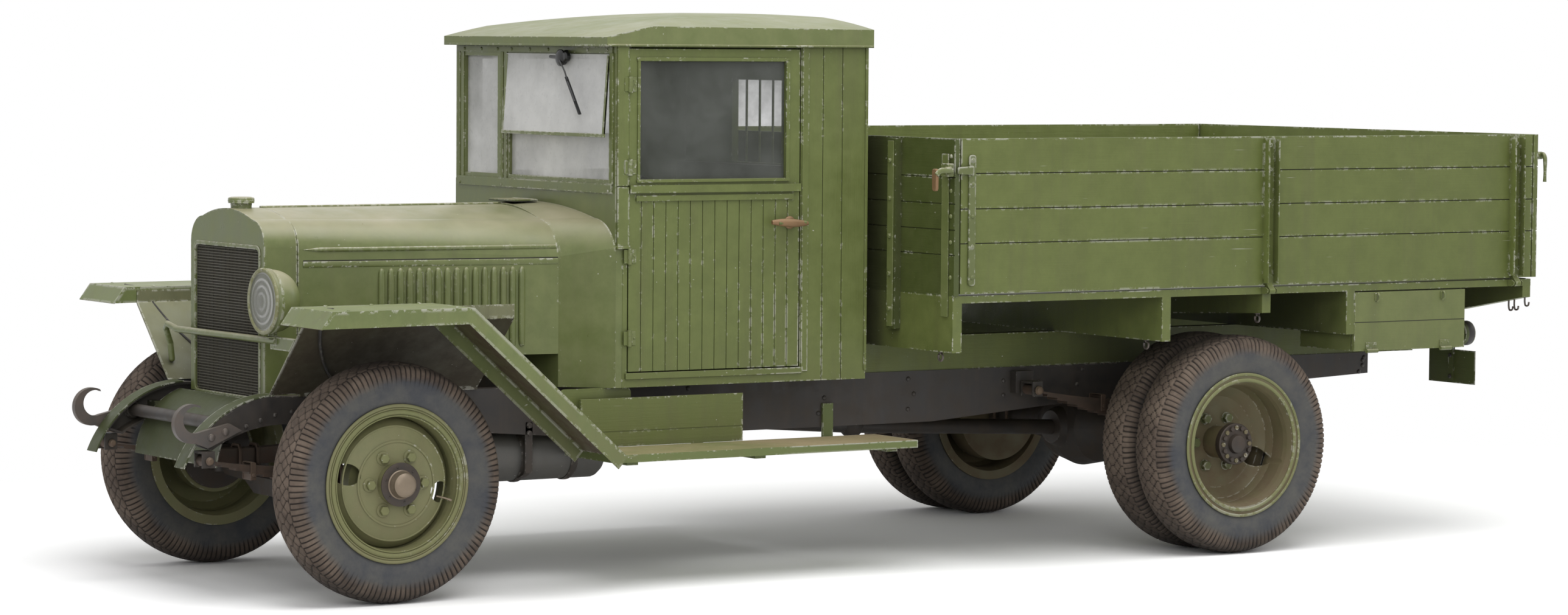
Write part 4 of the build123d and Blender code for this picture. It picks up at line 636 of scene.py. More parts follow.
def smooth_line(knots, count):
    """Points along a curve through the knots: a Catmull-Rom cubic, in equal steps of the parameter."""
    knots = np.asarray(knots, float)
    padded = np.vstack([2 * knots[0] - knots[1], knots, 2 * knots[-1] - knots[-2]])
    at = np.linspace(0, len(knots) - 1, count)
    base = np.minimum(at.astype(int), len(knots) - 2)
    t = (at - base)[:, None]
    a, b, c, d = (padded[base + k] for k in range(4))
    return 0.5 * (2 * b + (c - a) * t + (2 * a - 5 * b + 4 * c - d) * t**2 + (3 * b - a - 3 * c + d) * t**3)


def bend(points, count=24):
    """A smooth path through points given as (station, y, z) in mm."""
    points = np.asarray(points, float) * (MM, MM, MM) + (FRONT_AXLE_X, 0, 0)
    return smooth_line(points, count)


# ---- tyres ----
# Half of the tyre's section in mm, from the bead out to the crown: offset from the middle, radius.
TYRE_KNOTS = ((64, 262), (77, 272), (79, 288), (89, 322), (96.5, 358), (97.5, 384), (93, 408), (84, 428),
              (66, 441.5), (44, 448), (22, 450.5), (0, 451))
# Radius in mm of the running surface.
TYRE_R = 451.0
# Length in mm of one repeat of the tread along the running surface.
TREAD_PITCH = 2 * np.pi * TYRE_R / 62
# Each column of blocks on the crown: its middle across the tyre and how much smaller its blocks are, in mm.
TREAD_COLUMNS = ((-56, 0.0), (-30, 3.0), (0, -2.0), (30, 3.0), (56, 0.0))
# Depths in mm of the grooves and of the dips between the ridges above the shoulder.
GROOVE_DEPTH = 5.5
RIDGE_DEPTH = 1.1 * 0.6
# The crown's blocks end at this many mm from the middle, and a ring groove runs round outside them.
CROWN_HALF, RING_HALF = 62, 66
# The two moulded lines on the side wall: height, radius and half width in mm.
WALL_LINES = ((1.1, 300, 2.0), (0.8, 336, 1.6))
# Radii in mm between which dust lies above the bead.
BEAD_DUST_LOW, BEAD_DUST_HIGH = 260.0, 292.0


def ramp(value, start, run):
    """0 below the start and 1 beyond start + run, straight between."""
    return np.clip((value - start) / run, 0, 1)


def tyre_arrays(centre, columns, rows, turn):
    """Tyre as a torus of (angle, section): the section is the smooth half curve and its mirror, and each point
    moves in along the surface's normal by the groove depth. Grooves are the lines where the nearest and second
    nearest centres of a hexagon lattice are equally far, and on the shoulder a cosine's troughs."""
    half = smooth_line(TYRE_KNOTS, 4 * rows)
    run = np.r_[0, np.cumsum(np.hypot(*np.diff(half, axis=0).T))]
    # Two thirds of the rings lie on the tread and shoulder, the last 45% of the curve.
    share = np.r_[np.linspace(0, 0.55, rows // 3, endpoint=False), np.linspace(0.55, 1, rows - rows // 3)]
    half = np.stack([np.interp(share * run[-1], run, half[:, k]) for k in (0, 1)], 1)
    section = np.vstack([half * (-1, 1), half[-2::-1]])
    side = np.gradient(section, axis=0)
    normal = np.stack([-side[:, 1], side[:, 0]], 1)
    normal /= np.linalg.norm(normal, axis=1)[:, None]
    arc = np.r_[0, np.cumsum(np.hypot(*np.diff(section, axis=0).T))]
    across = (arc - arc[len(arc) // 2])[None, :]
    from_middle = np.abs(across)
    angle = (np.arange(columns) * 2 * np.pi / columns)[:, None] + turn
    along = angle * TYRE_R
    wave = along / TREAD_PITCH * 2 * np.pi
    # Hexagon lattice: five columns of centres, every other one half a pitch on.
    first = np.full(np.broadcast(along, across).shape, 1e9)
    second = first.copy()
    for row, (y, size) in enumerate(TREAD_COLUMNS):
        u = (along / TREAD_PITCH + 0.5 * (row % 2) + 0.5) % 1.0 - 0.5
        for step in (-1, 0, 1):
            away = np.hypot((u + step) * TREAD_PITCH, across - y) + size
            second = np.minimum(second, np.maximum(first, away))
            first = np.minimum(first, away)
    crown = np.where(from_middle < CROWN_HALF, ramp(second - first, 2.0, 3.0), 1.0)
    ring = ramp(np.abs(from_middle - (RING_HALF + 3.0 * np.cos(wave))), 1.2, 2.2)
    # Shoulder lugs, two to a pitch, that fade out 150 mm from the middle.
    fade = np.clip((150 - from_middle) / 26, 0, 1) * ramp(from_middle, 68, 3)
    lug = 1 - (1 - ramp(np.cos(wave * 2.0), -0.84, 0.26)) * fade
    inner = np.clip((142 - from_middle) / 36, 0, 1) * ramp(from_middle, 100, 12)
    ridge = inner * np.clip(np.cos(wave * 2.0 + np.pi) * 0.5 + 0.5, 0, 1)
    relief = crown * ring * lug
    depth = GROOVE_DEPTH * (1 - relief) + RIDGE_DEPTH * (1 - ridge) * (inner > 0)
    line = sum(high * np.exp(-((section[:, 1] - r) / half_width) ** 2) for high, r, half_width in WALL_LINES)
    radius = section[None, :, 1] + (line - depth) * normal[None, :, 1]
    offset = section[None, :, 0] - depth * normal[None, :, 0]
    points = np.stack([radius * np.sin(angle), offset, radius * np.cos(angle)], -1)
    tread = np.clip((155 - from_middle) / 55, 0, 1) * np.ones_like(radius)
    dust = np.clip((BEAD_DUST_HIGH - section[None, :, 1]) / (BEAD_DUST_HIGH - BEAD_DUST_LOW), 0, 1)
    return points * MM + np.asarray(centre), relief, np.maximum(tread, 0.55 * dust)


def tyre(name, node, body, centres, columns, rows):
    """One or two tyres on one wheel body, in place of their CAD node."""
    parts = [tyre_arrays(centre, columns, rows, 0.4 * k) for k, centre in enumerate(centres)]
    points = np.concatenate([p[0].reshape(-1, 3) for p in parts])
    across = parts[0][0].shape[1]
    faces = lattice_faces(columns, across, wrap_rows=True, wrap_columns=True)
    faces = np.concatenate([faces + k * columns * across for k in range(len(parts))])
    piece(name, (points, faces), "rubber", body, (node,), sharp=180,
          values={"relief": np.concatenate([p[1].ravel() for p in parts]),
                  "tread": np.concatenate([p[2].ravel() for p in parts])})


# ---- wheels ----
def on_axle(x, s):
    """Two makers for the wheel with its axle at x on one side: at gives the place y mm out from the truck's
    middle, and band a rolled ring of a bead's radius and half sizes there."""

    def at(y):
        return np.array((x, s * y * MM, AXLE_Z))

    def band(y, radius, wide, high, steps=96):
        return ring_of(bead(0, radius, wide, high), at(y), (0, s, 0), steps)

    return at, band


def around(middle, radius, angles):
    """Places in metres round a wheel's axle: middle + radius * (cos a, 0, sin a)."""
    return middle + radius * np.stack([np.cos(angles), 0 * angles, np.sin(angles)], 1)


def wheel_trim(side, s):
    """Lock ring, rolled rim edges, nuts, hub ring, cap and valve of a front wheel, set out along its axle."""
    body, out = f"wheel_front_{side}", (0, s, 0)
    at, band = on_axle(FRONT_AXLE_X, s)
    piece(f"rim_edge_{body}", [band(841, 292, 6.5, 5.0), band(841, 281, 3.0, 3.0)], "rim", body)
    piece(f"lock_ring_{body}", [band(841, 268, 9.0, 6.5), band(838, 254.5, 3.5, 4.0)], "ring", body)
    step = [band(828.5, 158, 5.0, 2.6, 72), band(808, 214, 3.5, 2.2, 72)]
    angle = np.radians(60 * np.arange(6))
    spots = around(at(830), NUT_R, angle)
    raised = [revolve(((0, 0), (0, 27), (3, 25), (4.5, 20), (4.5, 0)), p, out, 24) for p in spots]
    piece(f"disc_steps_{body}", step + raised, "rim", body)
    nuts = [hex_nut(p + (0, s * 4 * MM, 0), out, 33, 17, 0, phase=a) for p, a in zip(spots, angle)]
    piece(f"nuts_{body}", nuts, "ring", body)
    flange = revolve(((-6, 60), (2, 82), (6, 82), (8, 79), (8, 54), (5, 50)), at(860), out, 64)
    screws = [rivet(p, out, 5, 3) for p in around(at(867), 0.067, angle + 0.3)]
    piece(f"hub_ring_{body}", [flange, *screws], "hub_iron", body)
    cap = revolve(((0, 55), (5, 55), (8, 51), (20, 49.5), (24, 47.5), (38, 45), (46, 36), (50, 22), (51, 0)),
                  at(864), out, 64)
    piece(f"hub_cap_{body}", cap, "cap", body)
    stem = bend(((-176, s * 818, 396), (-196, s * 836, 391), (-212, s * 846, 385), (-222, s * 850, 381)), 10)
    widths = np.where(np.arange(10) > 5, 5.0, 3.6)
    piece(f"valve_{body}", tube(stem, widths, steps=10), "cap", body)


def rear_trim(side, s):
    """Rolled rim edges, nuts, flange bolts and cap of a rear wheel pair, set out along its axle."""
    body, out = f"wheels_rear_{side}", (0, s, 0)
    at, band = on_axle(REAR_AXLE_X, s)
    piece(f"rim_edge_{body}", [band(1086, 292, 6.5, 5.0), band(1086, 268, 8.0, 6.0)], "ring", body)
    angle = np.radians(60 * np.arange(6))
    nuts = [hex_nut(p, out, 36, 24, 24, phase=a) for p, a in zip(around(at(897), NUT_R, angle), angle)]
    piece(f"nuts_{body}", nuts, "nut", body)
    drum = revolve(((-34, 68), (-28, 84), (-24, 86), (0, 86), (3, 83), (3, 0)), at(1032), out, 64)
    turn = np.radians(45 * np.arange(8) + 22.5)
    bolts = [hex_nut(p, out, 19, 12, 12, phase=a) for p, a in zip(around(at(1034), 0.068, turn), turn)]
    nose = revolve(((0, 40), (4, 40), (12, 37), (17, 36), (19, 33), (20, 0)), at(1034), out, 48)
    piece(f"hub_drum_{body}", [drum, nose, *bolts], "hub_iron", body)


# ---- nose ----
def arc_through(a, b, c):
    """Points of the circle arc from a through b to c: the centre solves |p-a| = |p-b| = |p-c|."""
    a, b, c = (np.asarray(p, float) for p in (a, b, c))
    centre = np.linalg.solve(2 * np.stack([b - a, c - a]), np.array([b @ b - a @ a, c @ c - a @ a]))
    start, end = (np.arctan2(*(p - centre)[::-1]) for p in (a, c))
    end = start + (end - start + np.pi) % (2 * np.pi) - np.pi
    angle = np.linspace(start, end, 24)
    return centre + np.linalg.norm(a - centre) * np.stack([np.cos(angle), np.sin(angle)], 1)


# Stations in mm of the hood's front and rear edges.
HOOD_FRONT, HOOD_REAR = 149.0, -895.0
# Station of the first louvre, the step to the next, and foot and height of their caps, in mm.
LOUVRE_FIRST, LOUVRE_STEP, LOUVRE_FOOT, LOUVRE_HIGH = -183.0, 37.6, 915, 312
# The arc of each end's shoulder, front then rear: three points of (y, z) in mm.
HOOD_SHOULDERS = (((318, 1306), (294, 1373), (214, 1413)), ((480, 1262), (449, 1337), (330, 1403)))


def hood_y(x, z):
    """Half width of the hood at stations x and one height z: the two end shoulders are arcs, and the sheet
    between them is ruled, so their points are mixed by the share of the way back."""
    front, rear = (arc_through(*shoulder) for shoulder in HOOD_SHOULDERS)
    share = np.clip((HOOD_FRONT - np.atleast_1d(x)) / (HOOD_FRONT - HOOD_REAR), 0, 1)
    mixed = front + share[:, None, None] * (rear - front)
    return np.array([np.interp(z, line[:, 1], line[:, 0]) for line in mixed])


def hood_trim(side, s, louvres):
    """Rounded bead with a pointed start, the seam below it with a painted shade line, and the louvres' caps of a hood
    half.
    """
    body = f"hood_{side}"
    x = np.linspace(128, -892, 60)
    width = np.clip((128 - x) / 60, 0.05, 1)
    line = tube(spot(x, s * (hood_y(x, BEAD_Z) + 1.0), BEAD_Z), 6.0 * width, 8.5 * width, 14)
    lip = tube(spot(x, s * (hood_y(x, SEAM_Z - 14) + 0.6), SEAM_Z - 13), 2.4, 12.0, 12)
    piece(f"bead_{body}", [line, lip], "body", body)
    # Painted shade: a near black bar in the seam above the lip draws the seam's shadow line.
    gap = spot(x, s * (hood_y(x, SEAM_Z + 1) + 0.4), SEAM_Z + 1)
    piece(f"seam_{body}", tube(gap, 1.2, 2.2, 8), "gap", body)
    caps = []
    t = 0.5 - 0.5 * np.cos(np.linspace(0, np.pi, 30))[:, None]
    a = np.linspace(0, np.pi, 15)[None, :]
    swell = np.clip(1 - (2 * t - 1) ** 12, 0, 1) ** 0.5
    for number in range(louvres):
        middle = LOUVRE_FIRST - LOUVRE_STEP * number
        lean = middle + 2.0 - (14.5 * swell) * np.cos(a) + 2.0 * swell * np.sin(a)
        # The hood's wall is 162 mm farther out at its rear edge than at its front.
        face = 318 + (HOOD_FRONT - middle) * 162 / (HOOD_FRONT - HOOD_REAR)
        out = face - 1.5 + 13.5 * swell * np.sin(a) ** 0.8
        points = spot(lean, s * out, LOUVRE_FOOT + LOUVRE_HIGH * t)
        # One more row of points halfway between the cap's two edges closes its back.
        caps.append(rings(np.concatenate([points, points[:, -1:] * 0.5 + points[:, :1] * 0.5], 1)))
    piece(f"louvres_{body}", caps, "body", body)


def radiator_mesh(wires):
    """Woven wire over the core: upright wires at one pitch and level wires at another, each a thin flat bar."""
    half, low, high = 268, 748, 1297
    across, upright = np.array((-half, 0, half)), np.array((low, (low + high) / 2, high))
    bars = [tube(spot(284.5, y, upright), 1.5, 0.8, 4, FORWARD) for y in np.linspace(-half, half, wires)]
    bars += [tube(spot(284.5, across, z), 1.0, 1.7, 4) for z in np.linspace(low, high, wires)]
    piece("radiator_mesh", bars, "mesh")
    mouth = rounded(((-280, -288), (280, -288), (280, 288), (-280, 288)), 30, 8)
    rim = loop(spot(290.5, mouth[:, 0], 1022 + mouth[:, 1]), 8.0, 3.2, FORWARD)
    piece("radiator_mouth_bead", rim, "body")


def head_lamp():
    """Bowl as a half oval of revolution with a seam, a rolled rim, a ribbed lens, a reflector and its bulb."""
    place, out = spot(372, 470, 1120), FORWARD
    a = np.linspace(0, np.pi / 2, 22)[:-1]
    bowl = np.stack([-30 - 104 * np.sin(a), 119 * np.cos(a) ** 0.72], 1)
    seam = ((-2, 108), (-6, 117), (-20, 120.5), (-22, 122.5), (-27, 122.5), (-29, 120))
    shell = np.vstack([seam, bowl, ((-134.5, 0),)])
    post = revolve(((0, 26), (4, 26), (7, 17), (34, 15), (44, 22)), spot(330, 470, 983), UP, 24)
    piece("lamp_bowl", [revolve(shell, place, out, 72), post], "body", replaces=("head_lamp",))
    rim = ring_of(bead(-3, 117, 8.5, 7.5, 18), place, out, 72)
    clip = plate(strip(16, 26, 4), 5, place + (-0.004, 0, 0.118), UP, FORWARD)
    piece("lamp_rim", [rim, clip], "rim")
    t = np.linspace(0, 1, 34)
    glass = np.stack([7 * (1 - t**2) + 1.7 * np.cos(t * 9 * np.pi), 111 * t], 1)
    piece("lamp_lens", revolve(np.vstack([glass, glass[::-1] - (5, 0)]), place, out, 72), "lens")
    b = np.linspace(np.pi / 2, 0, 20)
    mirror = np.stack([-9 - 70 * np.cos(b) ** 0.9, 110 * np.sin(b)], 1)
    dish = np.vstack([mirror, mirror[::-1] * (1, 1) - (2, 0)])
    piece("lamp_reflector", revolve(dish, place, out, 56), "silver")
    bulb = revolve(((-60, 12), (-40, 12), (-34, 20), (-22, 22), (-10, 15), (-4, 0)), place, out, 32)
    piece("lamp_bulb", bulb, "lens")


def nose_fittings():
    """Filler cap with a knurled rim, rivets on the fenders and the fenders' stays."""
    cap = [(0, 41), (8, 41), (9, 50), (25, 50.5), (29, 48.5), (32, 40), (33, 0)]
    knurl = [rivet(spot(229 + 49 * np.cos(a), 49 * np.sin(a), 1478), (np.cos(a), np.sin(a), 0), 3.4, 1.6)
             for a in np.linspace(0, 2 * np.pi, 36, endpoint=False)]
    cap = revolve(cap, spot(229, 0, 1460), UP, 48)
    piece("filler_cap", [cap, *knurl], "body")
    rivets, stays = [], []
    for s in BOTH:
        rivets += [rivet(spot(x, s * 742, 1113), UP, 8.5, 4) for x in (250, 60, -140)]
        rivets += [rivet(spot(x, s * 1020, 1113), UP, 6.5, 3) for x in (300, -150)]
        bar = bend(((-10, s * 470, 742), (120, s * 520, 840), (220, s * 640, 960), (280, s * 780, 1085),
                    (300, s * 900, 1104)), 26)
        stays.append(tube(bar, 13, 6, 10, FORWARD))
        stays.append(plate(strip(60, 40, 6), 40, spot(-10, s * 432, 742), (0, s, 0)))
    piece("fender_rivets", rivets, "fender")
    piece("fender_stays", stays, "black")


# ---- cab ----
def cab_y(x):
    """Half width in mm of the cab's outside at a station: 635 at -1058 and 675 at -2200, straight between."""
    return 635 + (-1058 - x) * CAB_TAPER


def side_strip(x, z, wide, high, thick, s, out=0.0, radius=3.0):
    """A batten on the cab's side wall, its middle at a station and a height, lying along the wall's taper."""
    y = cab_y(x) + out
    return plate(strip(wide, high, radius), thick, spot(x, s * y, z), (CAB_TAPER, s, 0))


def cab_trim():
    """Screws, battens, painted shade lines in the board gaps, the flap's frame, the vent's gasket and the roof's drip
    bead.
    """
    screws = [rivet(spot(-1053, y, 2062), FORWARD, 7, 3.5) for y in HEADER_SCREWS_Y]
    screws += [rivet(spot(-1050, y, 1517), FORWARD, 6, 3) for y in (-590, -250, 590)]
    piece("header_screws", screws, "nut")
    posts = ((-606, 26), (-249, 22), (606, 26))
    bars = [plate(strip(wide, 508), 7, spot(-1058, y, 1797), FORWARD) for y, wide in posts]
    # Station, height, width, height and thickness of each batten on a side wall.
    battens = ((-1087, 1808, 50, 540, 7), (-1087, 1418, 50, 232, 10), (-1087, 1301, 58, 12, 15),
               (-1912, 1440, 30, 1290, 4.5), (-2196, 1440, 12, 1300, 5.5), (-1501, 800, 800, 24, 9))
    bars += [side_strip(*batten, s) for s in BOTH for batten in battens]
    bars += [side_strip(-1101, z, 20, 54, 3, s, out=7) for s in BOTH for z in HINGES_Z]
    piece("cab_battens", bars, "boards_up")
    # Painted shade: near black strips at the bottom of the quarter panels' grooves draw their shadow lines.
    gaps = [side_strip(x, 1430, 2.4, 1330, 1.2, s, out=-3.9, radius=0.5) for s in BOTH for x in (-1994, -2084)]
    piece("quarter_gaps", gaps, "gap")
    lean = (math.cos(math.radians(4)), 0, math.sin(math.radians(4)))
    frame = [plate(strip(800, 13, 3), 8.5, spot(-1034.6, 193, 1731), lean)]
    frame += [plate(strip(12, 312, 3), 8.5, spot(-1045.4, 193 + y, 1886), lean) for y in (-393, 393)]
    piece("flap_frame", frame, "body")
    gasket = plate(strip(196, 116, 10), 3, spot(-963, 0, 1461), UP, FORWARD)
    piece("vent_gasket", gasket, "gap", "cowl_vent_lid")
    x, y = np.array(((-1010, 650), (-1300, 661), (-1600, 672), (-1900, 684), (-2214, 695)), float).T
    lips = [tube(spot(x, s * (y - 1.5), 2081), 5.5, 5.0, 10) for s in BOTH]
    lips.append(tube(spot(-1012, np.array((-648, 0, 648)), 2081), 5.0, 5.5, 10))
    piece("roof_drip_bead", lips, "body")


# A knuckle's profile along its pin, with two joints: (height, radius) in mm.
HINGE_KNUCKLE = ((-31, 0), (-31, 9.4), (-10, 10), (-9.4, 9), (-9, 10), (9, 10), (9.4, 9), (10, 10), (31, 9.4),
                 (31, 0))


def door_trim(side, s):
    """Hinge leaves and knuckles, window frame beads and the teardrop handle of one door."""
    body = f"door_{side}"
    leaves, screws = [], []
    for z in HINGES_Z:
        leaves.append(side_strip(-1134, z, 28, 54, 3.2, s))
        leaves.append(revolve(HINGE_KNUCKLE, spot(-1116, s * (cab_y(-1116) + 9), z), UP, 20))
        screws += [rivet(spot(x, s * (cab_y(x) + 3), z + dz), (DOOR_LEAN, s, 0), 4.5, 2.2)
                   for x, dz in ((-1130, 18), (-1141, 0), (-1130, -18))]
    piece(f"hinges_{body}", leaves + screws, "body", body)
    beads = ((-1493, 2028, 690, 14, 6), (-1493, 1556, 690, 12, 8), (-1158, 1792, 12, 470, 5),
             (-1829, 1792, 16, 470, 6))
    piece(f"window_beads_{body}", [side_strip(*line, s) for line in beads], "boards_up", body)
    foot = spot(-1841, s * cab_y(-1841), 1386)
    rose = revolve(((0, 0), (0, 25), (4, 25), (7, 21), (9, 14), (30, 11), (44, 11)), foot, (DOOR_LEAN, s, 0), 32)
    t = np.linspace(0, 1, 26)
    x = -1738 - 166 * t
    thick = 4 + 12.5 * np.sin(np.pi * np.clip(0.06 + 0.90 * t, 0, 1)) ** 0.65
    y = cab_y(x) + 38 - 4 * (t - 0.4) ** 2
    grip = tube(spot(x, s * y, 1386 + 3 * np.cos(t * 3)), thick * 0.8, thick, 18)
    piece(f"handle_{body}", [rose, grip], "brown", body)


def wiper_set():
    """Motor with two domed drums, its bracket and plug, the arm and the blade, in place of the CAD wiper."""
    place = spot(-1042, 270, 2030)
    drum = ((0, 0), (0, 24), (3, 28), (14, 30), (17, 33), (24, 33), (28, 28), (33, 20), (35, 8), (35, 0))
    body = revolve(drum, place, FORWARD, 36)
    lobe = revolve(((0, 0), (0, 18), (16, 20), (22, 14), (24, 0)), place + (0.004, 0.032, 0.004), FORWARD, 28)
    stub = tube(spot(-1022, np.array((240, 215, 190)), np.array((2032, 2033, 2034))), (7, 6, 6))
    foot = tube(spot(np.array((-1053, -1046, -1039)), 270, np.array((2054, 2054, 2052))), 7)
    arm = tube(bend(((-1008, 284, 2020), (-1010, 320, 1980), (-1012, 338, 1945)), 10), 3.2, steps=8, level=FORWARD)
    blade = tube(bend(((-1013, 330, 1955), (-1014, 372, 1896), (-1015, 432, 1812)), 12), 3.5, 8, 8, FORWARD)
    clip = tube(bend(((-1009, 345, 1938), (-1010, 372, 1900), (-1010, 400, 1860)), 8), 4.0, steps=8, level=FORWARD)
    piece("wiper_unit", [body, lobe, stub, foot, arm, blade, clip], "wiper",
          replaces=("wiper",))


def cushion(x_span, z_span, upright=False):
    """A stuffed pad with nine sewn channels, its face up or, for a back rest, forwards: a box whose face is bulged
    by (1 - p^4)(1 - q^4), p and q running from -1 to 1 over it, and pinched along its channels by a cosine."""
    n = 48
    p, q = np.meshgrid(np.linspace(-1, 1, n), np.linspace(-1, 1, n), indexing="ij")
    crown = (1 - p**4) * (1 - q**4)
    shrink = 1 - 0.035 * (np.abs(p) ** 8 + np.abs(q) ** 8) / 2
    channel = 0.012 * np.abs(np.cos(q * 9 * np.pi / 2)) ** 0.4
    x, z = np.array(x_span) * MM + FRONT_AXLE_X, np.array(z_span) * MM
    span, (back, front) = (z, x) if upright else (x, z)
    y, run = q * 0.586 * shrink, span.mean() + p * (span[1] - span[0]) / 2 * shrink
    sheets = (front - 0.016 + (0.020 * crown + channel - 0.008) * crown**0.3, back + 0.004 * (1 - crown))
    points = np.stack([np.stack((sheet, y, run) if upright else (run, y, sheet), -1) for sheet in sheets])
    grid = lattice_faces(n, n)
    border = np.concatenate([np.arange(n), np.arange(1, n) * n + n - 1, n * n - 2 - np.arange(n - 1),
                             (n - 2 - np.arange(n - 2)) * n])
    rim = np.stack([border, np.roll(border, -1), np.roll(border, -1) + n * n, border + n * n], 1)
    return points.reshape(-1, 3), list(grid) + list(grid[:, ::-1] + n * n) + list(rim)


def seats():
    """Bench and back pads of oilcloth, in place of the CAD cushions."""
    pads = [cushion((-2056, -1644), (1061, 1188)), cushion((-2166, -2064), (1192, 1598), upright=True)]
    made = piece("seat_pads", pads, "leather", replaces=("seat_cushions",), sharp=60)


# ---- bed ----
# Sideways places in mm of the front board's and the tailgate's irons, and heights of the bolts in a stake.
IRONS_Y = (-760, 0, 760)
STAKE_BOLTS_Z = (1200, 1330, 1460, 1590, 1690)


def mirrored(shape, s):
    """The same shape on the side that s gives: y times s."""
    points, faces = shape
    return points * (1, s, 1), faces


def bed_irons(side, s):
    """Flat iron with its bolts, latch arm, stake bolts and painted shade lines in the gaps between the planks of one
    side board.
    """
    out = LEFT
    irons = [plate(strip(32, 514, 13), 9, spot(-2371, 1155, 1404), out, edge=1.5),
             plate(rounded(((-60, -13), (16, -18), (16, 18), (-60, 13)), 5), 8, spot(-2357, 1163, 1600), out, edge=2)]
    bolts = [rivet(spot(-2371, 1164, z), out, 8.5, 5) for z in (1180, 1300, 1420, 1545, 1640)]
    # Painted shade: dark lines at the bottom of the grooves between the planks draw their shadow.
    gaps = [plate(strip(3012, 3.8, 0.5), 0.8, spot(-3826, 1151.1, z), out, edge=0.2) for z in (1313, 1449, 1588)]
    piece(f"plank_gaps_bed_side_{side}", mirrored(joined(gaps), s), "gap", f"bed_side_{side}")
    foot = rounded(((-28, -10), (28, -10), (28, 14), (10, 30), (-10, 30), (-28, 14)), 5)
    for x in (-3866, -5211):
        bolts += [hex_nut(spot(x, 1159, z), out, 17, 9, 10) for z in STAKE_BOLTS_Z]
        irons.append(plate(foot, 5, spot(x, 1159, 1132), out))
    piece(f"irons_bed_side_{side}", mirrored(joined(irons + bolts), s), "nut", f"bed_side_{side}")


def front_latch(side, s):
    """Hook and brown lever that hold a side board to the front board."""
    line = bend(((-2262, 1168, 1602), (-2240, 1176, 1602), (-2205, 1180, 1601), (-2186, 1180, 1585)), 16)
    post = revolve(((0, 14), (18, 14), (26, 9), (34, 8)), spot(-2264, 1140, 1602), LEFT, 24)
    keeper = plate(strip(46, 52, 6), 30, spot(-2290, 1128, 1602), FORWARD)
    hook = joined([tube(line, 6, 11, 12), post, keeper])
    piece(f"latch_hook_{side}", mirrored(hook, s), "body")
    grip = rounded(((-15, -44), (15, -44), (17, 44), (-17, 44)), 12)
    lever = plate(grip, 13, spot(-2198, 1164, 1565), FORWARD, edge=3)
    piece(f"latch_lever_{side}", mirrored(lever, s), "brown")


def rear_crank(side, s):
    """Cone, neck, hexagon and hanging crank of a tailgate corner latch, along X behind the gate."""
    y, z = s * 1125, 1634
    cone = revolve(((0, 0), (0, 30), (5, 30), (8, 24), (34, 13), (40, 13), (40, 0)), spot(-5341, y, z), BACK, 32)
    nut = revolve(((36, 0), (36, 17), (45, 17), (47, 14), (47, 0)), spot(-5341, y, z), BACK, 6)
    line = bend(((-5378, y, z), (-5379, y + s * 20, z + 8), (-5379, y + s * 33, z - 10), (-5379, y + s * 35, z - 60),
                 (-5379, y + s * 34, z - 112)), 24)
    arm = tube(line, 8 - 1.2 * np.sin(np.linspace(0, 3 * np.pi, 24)), steps=12, level=FORWARD)
    piece(f"gate_crank_{side}", [cone, nut, arm], "body", "tailgate")


def bed_fittings():
    """Front board bolts and irons, gate bolts, ring hooks and rope hooks below the bed."""
    bolts = [rivet(spot(-2290, s * 1132, z), FORWARD, 9, 6) for s in BOTH for z in (1180, 1318, 1420, 1520, 1655)]
    irons = [plate(strip(40, 740, 4), 4, spot(-2260, y, 1339), FORWARD) for y in IRONS_Y]
    irons += [plate(strip(46, 640, 4), 5, spot(-2289, s * 1098, 1345), FORWARD) for s in BOTH]
    bolts += [hex_nut(spot(-2256, y, z), FORWARD, 16, 9, 10) for y in IRONS_Y for z in (1040, 1180, 1330, 1480, 1630)]
    piece("front_board_irons", irons + bolts, "body")
    gate = [hex_nut(spot(-5345, y, z), BACK, 17, 9, 10) for y in IRONS_Y for z in STAKE_BOLTS_Z]
    gate += [rivet(spot(-5341, s * 1125, z), BACK, 8, 4.5) for s in BOTH for z in (1180, 1320, 1460, 1540, 1690)]
    piece("gate_bolts", gate, "body", "tailgate")
    hooks = []
    for s in BOTH:
        # Open rings under the bed's cross beams, then curled rope hooks behind.
        a = np.linspace(0.2, 5.4, 22)
        for x, y, z in ((-2312, 1040, 884), (-3348, 1020, 898), (-3866, 1092, 996)):
            ring = np.stack([0 * a, 0.015 * np.sin(a), 0.015 * np.cos(a)], 1) + spot(x, s * y, z - 22)
            hooks.append(tube(ring, 4.5, steps=10, level=FORWARD))
            hooks.append(revolve(((0, 12), (3, 12), (6, 7), (12, 6)), spot(x, s * y, z), DOWN, 16))
        for y, z in ((1138, 1022), (1073, 1002), (1038, 998)):
            curl = [(-5296, s * (y + dy), z + dz) for dy, dz in ((0, 12), (0, -14), (6, -30), (22, -28), (26, -14))]
            hooks.append(tube(bend(curl, 18), 4.0, steps=10, level=FORWARD))
    piece("rope_hooks", hooks, "steel")


